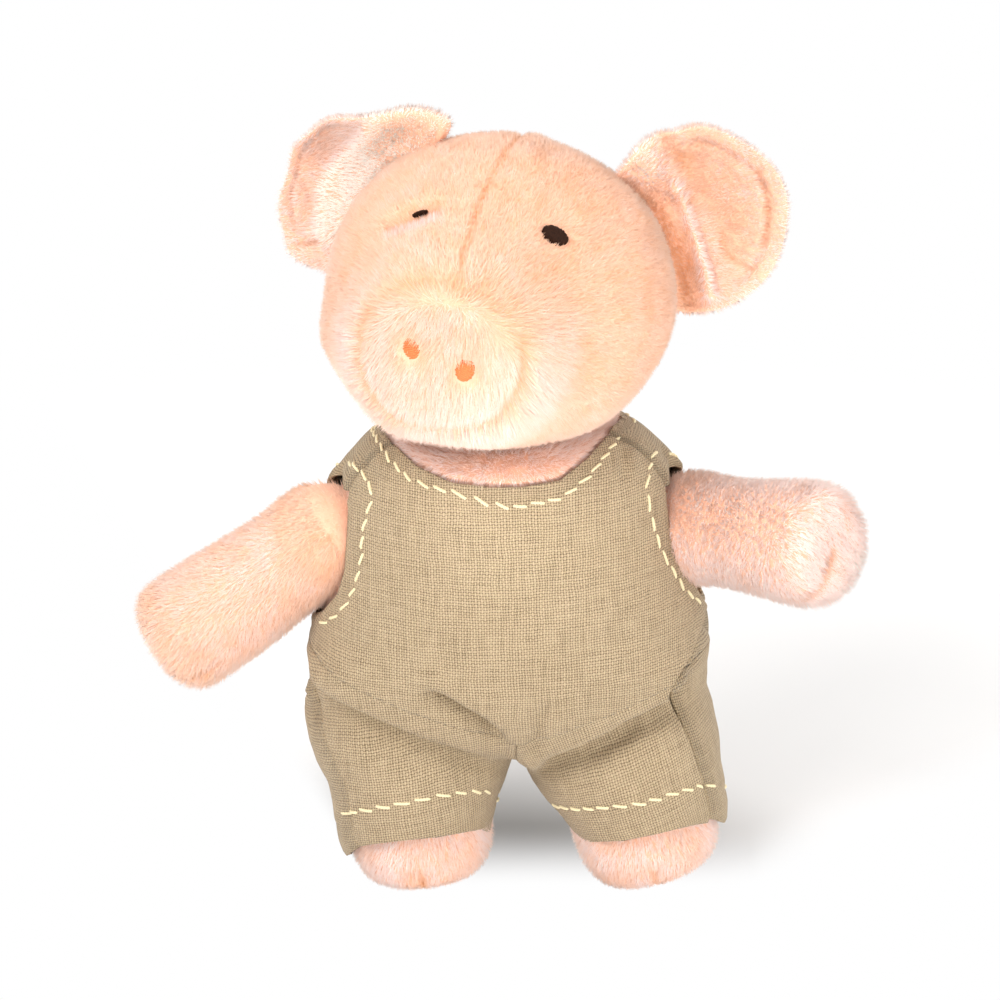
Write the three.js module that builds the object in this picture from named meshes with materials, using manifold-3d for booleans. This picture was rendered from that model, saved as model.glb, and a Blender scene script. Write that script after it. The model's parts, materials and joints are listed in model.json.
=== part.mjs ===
// A small plush pig that stands in a pair of linen overalls.
// Millimetres, +Z up. The pig faces -Y, so its own left side is at +X.
// Covers are sewn plush shells with their stuffing inside. Limbs and head turn at their seams.

import * as THREE from "three";
import { mergeVertices } from "three/addons/utils/BufferGeometryUtils.js";
import Module from "manifold-3d";

const wasm = await Module();
wasm.setup();

// Cloth and clearances
const plushThickness = 2.2;
const linenThickness = 1.1;
const seamGap = 0.3;
const cutOverrun = 12;
const weldDistance = 0.0005;

// Head
const headHalfWidth = 39.2;
const headHalfDepth = 36.6;
const headHalfHeight = 35.4;
const headCentreHeight = 143.7;
const headCentreForward = 4;
const headYaw = THREE.MathUtils.degToRad(10);
const headRoll = THREE.MathUtils.degToRad(5.5);
const muzzleReach = 45;
const muzzleRadius = 26.5;
const muzzleBlend = 4;
const muzzleSquareness = 3.5;
const muzzleDroop = THREE.MathUtils.degToRad(3);
const muzzleTurn = THREE.MathUtils.degToRad(7);
const snoutDiscRadius = 17;

// Face embroidery
const eyeHalfWidth = 2.9;
const eyeHalfHeight = 2.2;
const stitchHeight = 1.1;
const eyeSpread = THREE.MathUtils.degToRad(33);
const eyeRise = THREE.MathUtils.degToRad(38);
const nostrilRadius = 2.1;
const nostrilSpacing = 12.6;
const nostrilRise = 0.9;
const nostrilTilt = THREE.MathUtils.degToRad(12);

// Ears
const earHalfHeight = 22;
const earHalfWidth = 20.5;
const earThickness = 6.4;
const earCup = 6.5;
const earCentreOut = 10.5;
const earCentreDrop = 2.5;
const earRootTop = new THREE.Vector3(20, 11.8, 28.9);
const earRootBottom = new THREE.Vector3(35.5, 14.3, 1.1);
const earLean = new THREE.Vector3(0.9, 0.34, 0.2);
const earFold = THREE.MathUtils.degToRad(15);
const earPose = {
  left: { droop: 0, nod: 0 },
  right: { droop: THREE.MathUtils.degToRad(14), nod: THREE.MathUtils.degToRad(12) },
};

// Body
const bodyHalfWidth = 44;
const bodyDepthShare = { top: 0.88, foot: 0.64 };
const bodyFootHeight = 35.5;
const bodyHeight = 78.7;
const bodyLean = THREE.MathUtils.degToRad(1.5);
const neckCupRadius = 36.5;
const neckOpeningRadius = 11;
const collarRadius = 16.5;
const collarThickness = 2.4;

// Arms
const shoulderHeight = 85.5;
const shoulderHalfSpan = 41.7;
const shoulderForward = 1;
const armRadius = 12.9;
const armLength = 46.5;
const armAim = {
  left: { droop: THREE.MathUtils.degToRad(-8), forward: THREE.MathUtils.degToRad(45) },
  right: { droop: THREE.MathUtils.degToRad(34), forward: THREE.MathUtils.degToRad(1) },
};
const armSwing = {
  left: { down: THREE.MathUtils.degToRad(20), up: THREE.MathUtils.degToRad(28) },
  right: { down: THREE.MathUtils.degToRad(5), up: THREE.MathUtils.degToRad(50) },
};

// Legs
const hipHeight = 32.5;
const hipHalfSpan = 24.5;
const hipForward = 4.5;
const legRadius = 15.6;
const legLength = 31;
const legOutward = { left: THREE.MathUtils.degToRad(16), right: THREE.MathUtils.degToRad(-6) };
const legForward = THREE.MathUtils.degToRad(5);
const soleFlat = 0.5;

// Overalls
const bodyEase = 0.9;
const trouserHipRadius = 22.8;
const trouserLength = 34;
const hemDrop = 17.5;
const hemSlope = THREE.MathUtils.degToRad(8);
const neckHalfWidth = 27;
const neckHalfDepth = 22.5;
const armholeHalfHeight = 18.5;
const armholeHalfDepth = 11;
const armholeHeight = 82.2;
const armEase = 0.5;
const sideSeamForward = 6;

// Outlines, as [radius share, height share] from the top of a form to its foot
const bodyProfileShares = [
  [0, 1], [0.38, 0.985], [0.6, 0.95], [0.75, 0.885], [0.83, 0.79], [0.88, 0.66],
  [0.94, 0.52], [0.99, 0.39], [1, 0.27], [0.92, 0.16], [0.7, 0.06], [0.4, 0.012], [0, 0],
];
// [radius share, length share] from the shoulder or hip to the tip
const armSwellShares = [[0.96, 0.22], [0.97, 0.4], [1.03, 0.58], [1.05, 0.76], [0.93, 0.91], [0.6, 0.98]];
const legSwellShares = [[1, 0.15], [1.03, 0.36], [1.06, 0.56], [1.03, 0.76], [0.86, 0.93], [0.56, 0.99]];
const trouserSwellShares = [[0.99, 0.14], [0.94, 0.3], [0.86, 0.48], [0.82, 0.66], [0.8, 0.84], [0.6, 0.97]];
const rootDomeSteps = 3;
const rootMouthShare = 0.55;

// Facet counts
const headFacets = { around: 26, along: 17 };
const headInnerFacets = { around: 16, along: 11 };
const bodyFacets = { around: 22, along: 13 };
const limbFacets = { around: 13, along: 9 };
const innerFacets = { around: 14, along: 9 };
const socketFacets = { around: 16, along: 8 };
const earFacets = { around: 18, along: 8 };
const smallFacets = { around: 12, along: 6 };

const colours = { plush: 0xf3c7a6, lining: 0xf7f2ea, linen: 0xbdac82, eye: 0x2a1712, nostril: 0xe98a4b };

function materialOf(colour, roughness) {
  return new THREE.MeshStandardMaterial({ color: colour, roughness, metalness: 0 });
}

const materials = {
  plush: materialOf(colours.plush, 0.95),
  lining: materialOf(colours.lining, 0.95),
  linen: materialOf(colours.linen, 0.9),
  eye: materialOf(colours.eye, 0.6),
  nostril: materialOf(colours.nostril, 0.7),
};

// Closed triangle meshes to solids and back, for the joins and cuts

function solidOf(geometry) {
  const bare = geometry.clone();
  bare.deleteAttribute("normal");
  bare.deleteAttribute("uv");
  const merged = mergeVertices(bare, weldDistance);
  return new wasm.Manifold(
    new wasm.Mesh({
      numProp: 3,
      vertProperties: new Float32Array(merged.attributes.position.array),
      triVerts: new Uint32Array(merged.index.array),
    }),
  );
}

function geometryOf(solid) {
  const mesh = solid.getMesh();
  const geometry = new THREE.BufferGeometry();
  geometry.setAttribute("position", new THREE.BufferAttribute(mesh.vertProperties, mesh.numProp));
  geometry.setIndex(new THREE.BufferAttribute(mesh.triVerts, 1));
  return geometry;
}

// A form worked from a unit ball: each of its points goes where place(direction) says

function ballForm(facets, place) {
  const form = new THREE.SphereGeometry(1, facets.around, facets.along);
  form.rotateX(Math.PI / 2);
  const points = form.attributes.position;
  const direction = new THREE.Vector3();
  for (let i = 0; i < points.count; i += 1) {
    direction.fromBufferAttribute(points, i).normalize();
    const placed = place(direction);
    points.setXYZ(i, placed.x, placed.y, placed.z);
  }
  return form;
}

// A ball whose facets all lie on or outside its radius, and one whose corners lie on it

function hollowBall(radius, facets = socketFacets) {
  const flatness = Math.cos(Math.PI / facets.around) * Math.cos(Math.PI / (2 * facets.along));
  return solidBall(radius / flatness, facets);
}

function solidBall(radius, facets = socketFacets) {
  return ballForm(facets, (direction) => direction.clone().multiplyScalar(radius));
}

// A form turned round Z from a profile that runs from its top to its foot, grown by an even margin

function turnedForm(profile, facets, margin, depth = { top: 1, foot: 1 }) {
  return ballForm(facets, (direction) => {
    const share = Math.acos(THREE.MathUtils.clamp(direction.z, -1, 1)) / Math.PI;
    const point = profile.getPoint(share);
    const along = profile.getTangent(share);
    const reach = Math.max(point.x - along.y * margin, 0);
    const flat = Math.hypot(direction.x, direction.y) || 1;
    const depthShare = THREE.MathUtils.lerp(depth.top, depth.foot, share);
    return new THREE.Vector3(
      (reach * direction.x) / flat,
      (reach * depthShare * direction.y) / flat,
      point.y + along.x * margin,
    );
  });
}

// Groups: each body hangs at the seam that it turns about

const toy = new THREE.Group();

const torso = new THREE.Group();
torso.rotation.y = -bodyLean;
toy.add(torso);

const neck = new THREE.Group();
neck.name = "neck_pivot";
neck.position.set(0, -headCentreForward, headCentreHeight);
torso.add(neck);

const head = new THREE.Group();
head.name = "head_pivot";
head.rotation.set(0, bodyLean + headRoll, 0);
head.rotation.order = "ZYX";
head.rotation.z = -headYaw;
neck.add(head);

const snoutAim = new THREE.Group();
snoutAim.rotation.set(muzzleDroop, 0, -muzzleTurn, "ZYX");
head.add(snoutAim);

const sides = { left: 1, right: -1 };
const arms = {};
const legs = {};
const ears = {};

for (const [side, sign] of Object.entries(sides)) {
  const arm = new THREE.Group();
  arm.name = "arm_" + side + "_pivot";
  arm.position.set(sign * shoulderHalfSpan, -shoulderForward, shoulderHeight);
  const reach = new THREE.Vector3(
    sign * Math.cos(armAim[side].droop) * Math.cos(armAim[side].forward),
    -Math.cos(armAim[side].droop) * Math.sin(armAim[side].forward),
    -Math.sin(armAim[side].droop),
  );
  arm.quaternion.setFromUnitVectors(new THREE.Vector3(0, 0, -1), reach);
  torso.add(arm);
  arms[side] = arm;

  const leg = new THREE.Group();
  leg.name = "leg_" + side + "_pivot";
  leg.position.set(sign * hipHalfSpan, -hipForward, hipHeight);
  const stride = new THREE.Vector3(sign * Math.tan(legOutward[side]), -Math.tan(legForward), -1);
  leg.quaternion.setFromUnitVectors(new THREE.Vector3(0, 0, -1), stride.normalize());
  toy.add(leg);
  legs[side] = leg;

  const mirror = new THREE.Vector3(sign, 1, 1);
  const top = earRootTop.clone().multiply(mirror);
  const bottom = earRootBottom.clone().multiply(mirror);
  const upward = top.clone().sub(bottom).normalize();
  const outward = earLean.clone().multiply(mirror);
  outward.addScaledVector(upward, -outward.dot(upward)).normalize();
  const ear = new THREE.Group();
  ear.name = "ear_" + side + "_pivot";
  ear.position.copy(top).lerp(bottom, 0.5);
  const basis = new THREE.Matrix4().makeBasis(outward, upward.clone().cross(outward), upward);
  ear.quaternion.setFromRotationMatrix(basis);
  ear.rotateY(earPose[side].droop);
  ear.rotateX(sign * earPose[side].nod);
  head.add(ear);
  ears[side] = ear;
}
toy.updateMatrixWorld(true);

function solidIn(group, geometry) {
  return solidOf(geometry.clone().applyMatrix4(group.matrixWorld));
}

function fit(group, name, solid, material) {
  const geometry = geometryOf(solid);
  geometry.applyMatrix4(group.matrixWorld.clone().invert());
  const mesh = new THREE.Mesh(geometry, material);
  mesh.name = name;
  group.add(mesh);
}

// Forms

function headForm(margin, facets = headFacets) {
  const aim = new THREE.Vector3(0, -1, 0).applyEuler(snoutAim.rotation);
  return ballForm(facets, (turned) => {
    const direction = new THREE.Vector3(turned.x, -turned.z, turned.y);
    const skull = 1 / Math.hypot(
      direction.x / headHalfWidth,
      direction.y / headHalfDepth,
      direction.z / headHalfHeight,
    );
    const facing = Math.max(direction.dot(aim), 0);
    const aside = Math.sqrt(Math.max(1 - facing * facing, 0));
    const end = Math.pow(facing / muzzleReach, muzzleSquareness);
    const wall = Math.pow(aside / muzzleRadius, muzzleSquareness);
    const muzzle = facing > 0 ? Math.pow(end + wall, -1 / muzzleSquareness) : 0;
    const nearness = Math.max(muzzleBlend - Math.abs(skull - muzzle), 0) / muzzleBlend;
    const surface = Math.max(skull, muzzle) + (nearness * nearness * muzzleBlend) / 4;
    return direction.clone().multiplyScalar(surface + margin);
  });
}

const bodyProfile = new THREE.SplineCurve(
  bodyProfileShares.map(([radiusShare, heightShare]) =>
    new THREE.Vector2(radiusShare * bodyHalfWidth, bodyFootHeight + heightShare * bodyHeight)),
);

function bodyForm(margin, facets = bodyFacets) {
  return turnedForm(bodyProfile, facets, margin, bodyDepthShare);
}

function limbProfile(rootRadius, length, swellShares) {
  const points = [];
  for (let step = 0; step <= rootDomeSteps; step += 1) {
    const turn = (Math.PI / 2) * (1 - step / rootDomeSteps);
    points.push(new THREE.Vector2(rootRadius * Math.cos(turn), rootRadius * Math.sin(turn)));
  }
  for (const [radiusShare, lengthShare] of swellShares) {
    points.push(new THREE.Vector2(radiusShare * rootRadius, -lengthShare * length));
  }
  points.push(new THREE.Vector2(0, -length));
  return new THREE.SplineCurve(points);
}

const armProfile = limbProfile(armRadius, armLength, armSwellShares);
const legProfile = limbProfile(legRadius, legLength, legSwellShares);

function armForm(margin) {
  return turnedForm(armProfile, limbFacets, margin);
}

function legForm(margin) {
  return turnedForm(legProfile, limbFacets, margin);
}

// One ply of an ear: a bowl-shaped flap, domed on its outer face. face is 1 in front, -1 behind

function earPly(face) {
  return ballForm(earFacets, (direction) => {
    const outShare = direction.x;
    const upShare = direction.y;
    const rim = Math.min(Math.hypot(outShare, upShare), 1);
    const dome = direction.z > 0 ? Math.sqrt(Math.sqrt(1 - rim ** 4)) : 0;
    const bowl = earCup * rim * rim;
    const lift = seamGap / 2 + (dome * (earThickness - seamGap)) / 2;
    return new THREE.Vector3(
      earCentreOut + outShare * earHalfWidth,
      bowl + face * lift,
      upShare * earHalfHeight - earCentreDrop,
    );
  });
}

// Head: two side panels, the snout disc between them, and the stuffing

const headOuter = solidIn(head, headForm(0));
const headInner = solidIn(head, headForm(-plushThickness, headInnerFacets));
const headShell = headOuter.subtract(headInner);

function snoutPlug(radius) {
  const plug = new THREE.CylinderGeometry(radius, radius, muzzleReach, headFacets.around);
  plug.translate(0, -muzzleReach, 0);
  return solidIn(snoutAim, plug);
}

const neckOpening = solidIn(
  head,
  new THREE.CylinderGeometry(neckOpeningRadius, neckOpeningRadius, headHalfHeight, bodyFacets.around)
    .rotateX(Math.PI / 2)
    .translate(0, 0, -headHalfHeight),
);
const headCover = headShell.subtract(snoutPlug(snoutDiscRadius)).subtract(neckOpening);
const headBox = 2 * (muzzleReach + cutOverrun);

for (const [side, sign] of Object.entries(sides)) {
  const half = new THREE.BoxGeometry(headBox, headBox, headBox);
  half.translate(sign * (headBox / 2 + seamGap / 2), 0, 0);
  fit(head, "head_panel_" + side, headCover.intersect(solidIn(head, half)), materials.plush);
}
const snoutDisc = headShell.intersect(snoutPlug(snoutDiscRadius - seamGap));
fit(head, "snout_disc", snoutDisc, materials.plush);
const headStuffing = solidIn(head, headForm(-plushThickness - seamGap, headInnerFacets));
fit(head, "head_stuffing", headStuffing, materials.lining);

// Embroidered eyes and nostrils: low pads of thread that lie on the pile

const headSkin = solidIn(head, headForm(seamGap));

function stitchPad(halfWidth, halfHeight, direction) {
  const surface = headForm(0);
  const ray = new THREE.Ray(new THREE.Vector3(), direction.clone().normalize());
  const points = surface.attributes.position;
  const corners = [new THREE.Vector3(), new THREE.Vector3(), new THREE.Vector3()];
  const seat = new THREE.Vector3();
  for (let i = 0; i < surface.index.count; i += corners.length) {
    corners.forEach((corner, k) => corner.fromBufferAttribute(points, surface.index.getX(i + k)));
    if (ray.intersectTriangle(...corners, false, seat)) break;
  }
  const pad = ballForm(smallFacets, (way) =>
    new THREE.Vector3(way.x * halfWidth, way.y * halfHeight, way.z * (stitchHeight + seamGap)));
  const turn = new THREE.Quaternion().setFromUnitVectors(new THREE.Vector3(0, 0, 1), ray.direction);
  pad.applyQuaternion(turn);
  pad.translate(seat.x, seat.y, seat.z);
  return solidIn(head, pad).subtract(headSkin);
}

for (const [side, sign] of Object.entries(sides)) {
  const gaze = new THREE.Vector3(
    sign * Math.sin(eyeSpread) * Math.cos(eyeRise),
    -Math.cos(eyeSpread) * Math.cos(eyeRise),
    Math.sin(eyeRise),
  );
  fit(head, "eye_" + side, stitchPad(eyeHalfWidth, eyeHalfHeight, gaze), materials.eye);
  const breath = new THREE.Vector3((sign * nostrilSpacing) / 2, -muzzleReach, nostrilRise)
    .applyAxisAngle(new THREE.Vector3(0, 1, 0), nostrilTilt)
    .applyEuler(snoutAim.rotation);
  fit(head, "nostril_" + side, stitchPad(nostrilRadius, nostrilRadius, breath), materials.nostril);
}

// Ears: two plies each, cut back where the head meets them through their whole fold

function flip(geometry) {
  const index = geometry.index;
  for (let i = 0; i < index.count; i += 3) {
    const first = index.getX(i);
    index.setX(i, index.getX(i + 1));
    index.setX(i + 1, first);
  }
  return geometry;
}

function largestOf(solid) {
  return solid.decompose().sort((a, b) => b.volume() - a.volume())[0];
}

function sweptRound(group, axis, turns, makeSolid) {
  const home = group.matrixWorld;
  const back = home.clone().invert();
  return turns
    .map((turn) => {
      const step = new THREE.Matrix4().makeRotationAxis(axis, turn);
      return makeSolid(home.clone().multiply(step).multiply(back));
    })
    .reduce((joined, solid) => joined.add(solid));
}

for (const [side, ear] of Object.entries(ears)) {
  const hinge = new THREE.Vector3(0, 0, 1);
  const seat = sweptRound(ear, hinge, [-earFold, 0, earFold], (move) =>
    solidOf(headForm(seamGap).applyMatrix4(head.matrixWorld).applyMatrix4(move)));
  const forward = -sides[side];
  for (const [face, faceSign] of Object.entries({ front: 1, back: -1 })) {
    const ply = earPly(faceSign).scale(1, forward, 1);
    const solid = solidIn(ear, forward * faceSign > 0 ? flip(ply) : ply).subtract(seat);
    fit(ear, "ear_" + side + "_" + face, largestOf(solid), materials.plush);
  }
}

// Neck: a ring of rolled plush between the head and the cup in the top of the body

function ringPost(radius) {
  const post = new THREE.CylinderGeometry(radius, radius, headHalfHeight, socketFacets.around);
  return solidIn(neck, post.rotateX(Math.PI / 2).translate(0, 0, -headHalfHeight));
}

const headRoom = solidIn(neck, hollowBall(neckCupRadius, bodyFacets));
const neckCup = solidIn(neck, hollowBall(neckCupRadius + collarThickness + seamGap));
const collar = solidIn(neck, hollowBall(neckCupRadius + collarThickness))
  .subtract(headRoom)
  .intersect(ringPost(collarRadius))
  .subtract(ringPost(neckOpeningRadius));
fit(neck, "neck_collar", collar, materials.plush);

// Limbs: a cover open at its root, round the stuffing whose dome seats in the body.
// An arm is also cut back where it would press into the side of the body as it swings.

function bodySeat(arm, turns) {
  const wall = solidIn(torso, bodyForm(seamGap)).subtract(solidIn(arm, solidBall(armRadius)));
  const skin = geometryOf(wall);
  return sweptRound(arm, armAxis(arm), turns, (move) => solidOf(skin.clone().applyMatrix4(move)));
}

function limbPieces(group, name, makeForm, rootRadius, cuts) {
  const mouth = new THREE.BoxGeometry(4 * rootRadius, 4 * rootRadius, 2 * rootRadius);
  mouth.translate(0, 0, (rootMouthShare + 1) * rootRadius);
  const cover = solidIn(group, makeForm(0))
    .subtract(solidIn(group, makeForm(-plushThickness)))
    .subtract(solidIn(group, mouth));
  const stuffing = solidIn(group, makeForm(-plushThickness - seamGap));
  const trim = (solid) => largestOf(cuts.reduce((left, cut) => left.subtract(cut), solid));
  fit(group, name + "_cover", trim(cover), materials.plush);
  fit(group, name + "_stuffing", trim(stuffing), materials.lining);
}

function armAxis(arm) {
  const reach = new THREE.Vector3(0, 0, -1).applyQuaternion(arm.quaternion);
  const axis = new THREE.Vector3(reach.y, -reach.x, 0).normalize();
  return axis.applyQuaternion(arm.quaternion.clone().invert());
}

for (const [side, arm] of Object.entries(arms)) {
  const { down, up } = armSwing[side];
  const seat = bodySeat(arm, [-up, -up / 2, 0, down / 2, down]);
  limbPieces(arm, "arm_" + side, armForm, armRadius, [seat]);
}

// The soles are pressed flat where the pig stands

function lowestOf(leg) {
  const form = legForm(0).applyMatrix4(leg.matrixWorld);
  return new THREE.Box3().setFromBufferAttribute(form.attributes.position).min.z;
}

const groundHeight = Math.max(...Object.values(legs).map(lowestOf)) + soleFlat;
const groundWidth = 4 * bodyHalfWidth;
const ground = solidOf(
  new THREE.BoxGeometry(groundWidth, groundWidth, cutOverrun).translate(0, 0, groundHeight - cutOverrun / 2),
);
for (const [side, leg] of Object.entries(legs)) limbPieces(leg, "leg_" + side, legForm, legRadius, [ground]);

// Body: the cover, open at the neck, shoulders and hips, and its stuffing

const sockets = [neckCup];
for (const arm of Object.values(arms)) sockets.push(solidIn(arm, hollowBall(armRadius + seamGap)));
for (const leg of Object.values(legs)) sockets.push(solidIn(leg, hollowBall(legRadius + seamGap)));

function lessSockets(solid) {
  return largestOf(sockets.reduce((left, socket) => left.subtract(socket), solid));
}

const bodyCover = solidIn(torso, bodyForm(0)).subtract(solidIn(torso, bodyForm(-plushThickness, innerFacets)));
fit(torso, "body_cover", lessSockets(bodyCover), materials.plush);
const bodyStuffing = solidIn(torso, bodyForm(-plushThickness - seamGap, innerFacets));
fit(torso, "body_stuffing", lessSockets(bodyStuffing), materials.lining);

// Overalls: linen over the body and the legs, in a front and a back panel

const trouserProfile = limbProfile(trouserHipRadius, trouserLength, trouserSwellShares);

function overallsForm(margin) {
  return Object.values(legs)
    .map((leg) => solidIn(leg, turnedForm(trouserProfile, limbFacets, margin)))
    .reduce((joined, leg) => joined.add(leg), solidIn(torso, bodyForm(bodyEase + margin)));
}

function armholeCutter() {
  const hole = new THREE.CylinderGeometry(1, 1, 2 * (bodyHalfWidth + cutOverrun), bodyFacets.around);
  hole.rotateZ(Math.PI / 2);
  hole.scale(1, armholeHalfDepth, armholeHalfHeight);
  hole.translate(0, -shoulderForward, armholeHeight);
  return solidIn(torso, hole);
}

function necklineCutter() {
  const hole = new THREE.CylinderGeometry(1, 1, bodyHeight, bodyFacets.around);
  hole.rotateX(Math.PI / 2);
  hole.scale(neckHalfWidth, neckHalfDepth, 1);
  hole.translate(0, -headCentreForward / 2, bodyFootHeight + bodyHeight);
  return solidIn(torso, hole);
}

function hemCutter(leg) {
  const width = 2 * (trouserHipRadius + 2 * linenThickness);
  const below = new THREE.BoxGeometry(width, width, trouserLength);
  below.translate(0, 0, -trouserLength / 2);
  below.rotateY(-hemSlope);
  below.applyQuaternion(leg.quaternion.clone().invert());
  below.translate(0, 0, -hemDrop);
  return solidIn(leg, below);
}

function armSweep(side) {
  const arm = arms[side];
  const { down, up } = armSwing[side];
  const turns = [-down, -down / 2, 0, up / 2, up];
  return sweptRound(arm, armAxis(arm), turns, (move) =>
    solidOf(armForm(armEase).applyMatrix4(arm.matrixWorld).applyMatrix4(move)));
}

const overallsCuts = [armholeCutter(), necklineCutter(), neckCup];
for (const side of Object.keys(sides)) overallsCuts.push(hemCutter(legs[side]), armSweep(side));
const overalls = overallsCuts.reduce(
  (left, cut) => left.subtract(cut),
  overallsForm(linenThickness).subtract(overallsForm(0)),
);
const panelBox = 4 * bodyHeight;
for (const [face, faceSign] of Object.entries({ front: -1, back: 1 })) {
  const half = new THREE.BoxGeometry(panelBox, panelBox, panelBox);
  half.translate(0, faceSign * (panelBox / 2 + seamGap / 2) - sideSeamForward, 0);
  const panel = overalls.intersect(solidIn(torso, half));
  fit(torso, "overalls_" + face, largestOf(panel), materials.linen);
}

// The finished toy stands on Z = 0, over the middle of its own box

const stand = new THREE.Group();
stand.add(toy);
stand.updateMatrixWorld(true);
const bounds = new THREE.Box3().setFromObject(toy, true);
const middle = bounds.getCenter(new THREE.Vector3());
toy.position.set(-middle.x, -middle.y, -bounds.min.z);
stand.updateMatrixWorld(true);

export default stand;
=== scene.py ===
"""A small plush pig in linen overalls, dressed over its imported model.

Lengths are millimetres until a mesh is made.
"""

import itertools
import json
import math

import bpy
import numpy as np
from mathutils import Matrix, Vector
from mathutils.bvhtree import BVHTree


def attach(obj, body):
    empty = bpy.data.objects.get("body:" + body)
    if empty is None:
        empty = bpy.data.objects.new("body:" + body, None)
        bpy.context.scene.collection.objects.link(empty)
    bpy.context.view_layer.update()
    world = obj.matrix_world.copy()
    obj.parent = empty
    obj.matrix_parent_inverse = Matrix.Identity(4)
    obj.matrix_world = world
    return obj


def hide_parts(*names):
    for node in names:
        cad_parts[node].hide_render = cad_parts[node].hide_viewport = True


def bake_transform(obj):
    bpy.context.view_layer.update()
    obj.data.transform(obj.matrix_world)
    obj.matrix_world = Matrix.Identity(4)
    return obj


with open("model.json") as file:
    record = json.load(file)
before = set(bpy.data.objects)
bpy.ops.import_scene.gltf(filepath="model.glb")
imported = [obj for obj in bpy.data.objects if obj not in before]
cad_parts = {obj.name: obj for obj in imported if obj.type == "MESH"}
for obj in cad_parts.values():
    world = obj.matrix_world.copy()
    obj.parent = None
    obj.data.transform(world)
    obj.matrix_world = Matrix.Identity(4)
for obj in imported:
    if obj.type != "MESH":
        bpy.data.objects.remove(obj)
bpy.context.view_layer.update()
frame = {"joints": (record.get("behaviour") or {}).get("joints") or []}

MM = 0.001
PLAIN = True

# Driving sizes of the toy, in millimetres and degrees
BODY_LEAN = 1.5
HEAD_YAW = 10.0
HEAD_ROLL = 5.5
HEAD_CENTRE_IN_TORSO = np.array([0.0, -4.0, 143.7])
HEAD_HALF = np.array([39.2, 36.6, 35.4])
MUZZLE_REACH = 45.0
MUZZLE_RADIUS = 26.5
MUZZLE_SQUARENESS = 3.5
MUZZLE_BLEND = 9.0
MUZZLE_DROOP = 3.0
MUZZLE_TURN = 7.0
SNOUT_SEAM_RADIUS = 17.2
EYE_SPREAD = {1: 29.8, -1: 33.0}
EYE_RISE = 38.0
NOSTRIL_HALF_SPACING = 6.3
NOSTRIL_RISE = -0.7
NOSTRIL_TILT = 12.0
BODY_HALF_WIDTH = 44.0
BODY_DEPTH_TOP, BODY_DEPTH_FOOT = 0.88, 0.64
BODY_FOOT = 35.5
BODY_HEIGHT = 78.7
NECK_CUP_RADIUS = 36.5
ARM_RADIUS = 12.9
ARM_LENGTH = 46.5
LEG_RADIUS = 15.6
LEG_LENGTH = 31.0
TROUSER_RADIUS = 22.8
TROUSER_LENGTH = 34.0
# Which way each side lies along X
SIDES = {"left": 1, "right": -1}

# Pile and cloth
PILE_DEPTH = 1.5
LIMB_PILE_DEPTH = 0.9
PILE_WIDTH = 0.105
MOST_FIBRES = 65000
LINEN_THICKNESS = 1.1
LINEN_EASE = 1.5
TROUSER_EASE = 0.4

# Outlines, as [radius share, height share]
BODY_PROFILE = [
    [0, 1], [0.38, 0.985], [0.6, 0.95], [0.75, 0.885], [0.83, 0.79], [0.88, 0.66],
    [0.94, 0.52], [0.99, 0.39], [1, 0.27], [0.92, 0.16], [0.7, 0.06], [0.4, 0.012], [0, 0],
]
ARM_SWELL = [[0.96, 0.22], [0.98, 0.4], [1.04, 0.58], [1.07, 0.76], [1.0, 0.91], [0.7, 0.985]]
LEG_SWELL = [[1, 0.15], [1.03, 0.36], [1.06, 0.56], [1.03, 0.76], [0.86, 0.93], [0.56, 0.99]]
TROUSER_SWELL = [[0.99, 0.14], [0.94, 0.3], [0.86, 0.48], [0.82, 0.66], [0.8, 0.84], [0.6, 0.97]]
ROOT_DOME_STEPS = 3


def turned(axis, degrees):
    """The 3 by 3 matrix of a turn about X, Y or Z."""
    c, s = math.cos(math.radians(degrees)), math.sin(math.radians(degrees))
    i, j = {"X": (1, 2), "Y": (2, 0), "Z": (0, 1)}[axis]
    m = np.eye(3)
    m[i, i] = m[j, j] = c
    m[i, j], m[j, i] = -s, s
    return m


def unit(v):
    """Ways of length 1."""
    return v / np.maximum(np.linalg.norm(v, axis=-1, keepdims=True), 1e-9)


def frame_toward(way):
    """Axes whose -Z points along way, with the shortest turn from the upright."""
    start, end = np.array([0.0, 0.0, -1.0]), unit(np.array(way, float))
    axis = np.cross(start, end)
    s, c = np.linalg.norm(axis), float(start @ end)
    if s < 1e-9:
        return np.eye(3)
    k = axis / s
    cross = np.array([[0, -k[2], k[1]], [k[2], 0, -k[0]], [-k[1], k[0], 0]])
    return np.eye(3) + s * cross + (1 - c) * cross @ cross


JOINTS = {j["name"]: j for j in frame["joints"]}


def pivot(joint):
    return np.array(JOINTS[joint]["pos_m"], float) / MM


TORSO_AXES = turned("Y", -BODY_LEAN)
HEAD_AXES = TORSO_AXES @ turned("Z", -HEAD_YAW) @ turned("Y", BODY_LEAN + HEAD_ROLL)
HEAD_CENTRE = pivot("head_nod")
TORSO_ORIGIN = HEAD_CENTRE - TORSO_AXES @ HEAD_CENTRE_IN_TORSO
ARM_AIM = {"left": (-8.0, 45.0), "right": (34.0, 1.0)}
LEG_OUTWARD = {"left": 16.0, "right": -6.0}
LEG_FORWARD = 5.0


def arm_reach(side):
    droop, forward = (math.radians(a) for a in ARM_AIM[side])
    flat = math.cos(droop)
    return np.array([SIDES[side] * flat * math.cos(forward), -flat * math.sin(forward), -math.sin(droop)])


def leg_stride(side):
    out, ahead = math.tan(math.radians(LEG_OUTWARD[side])), math.tan(math.radians(LEG_FORWARD))
    return np.array([SIDES[side] * out, -ahead, -1.0])


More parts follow.
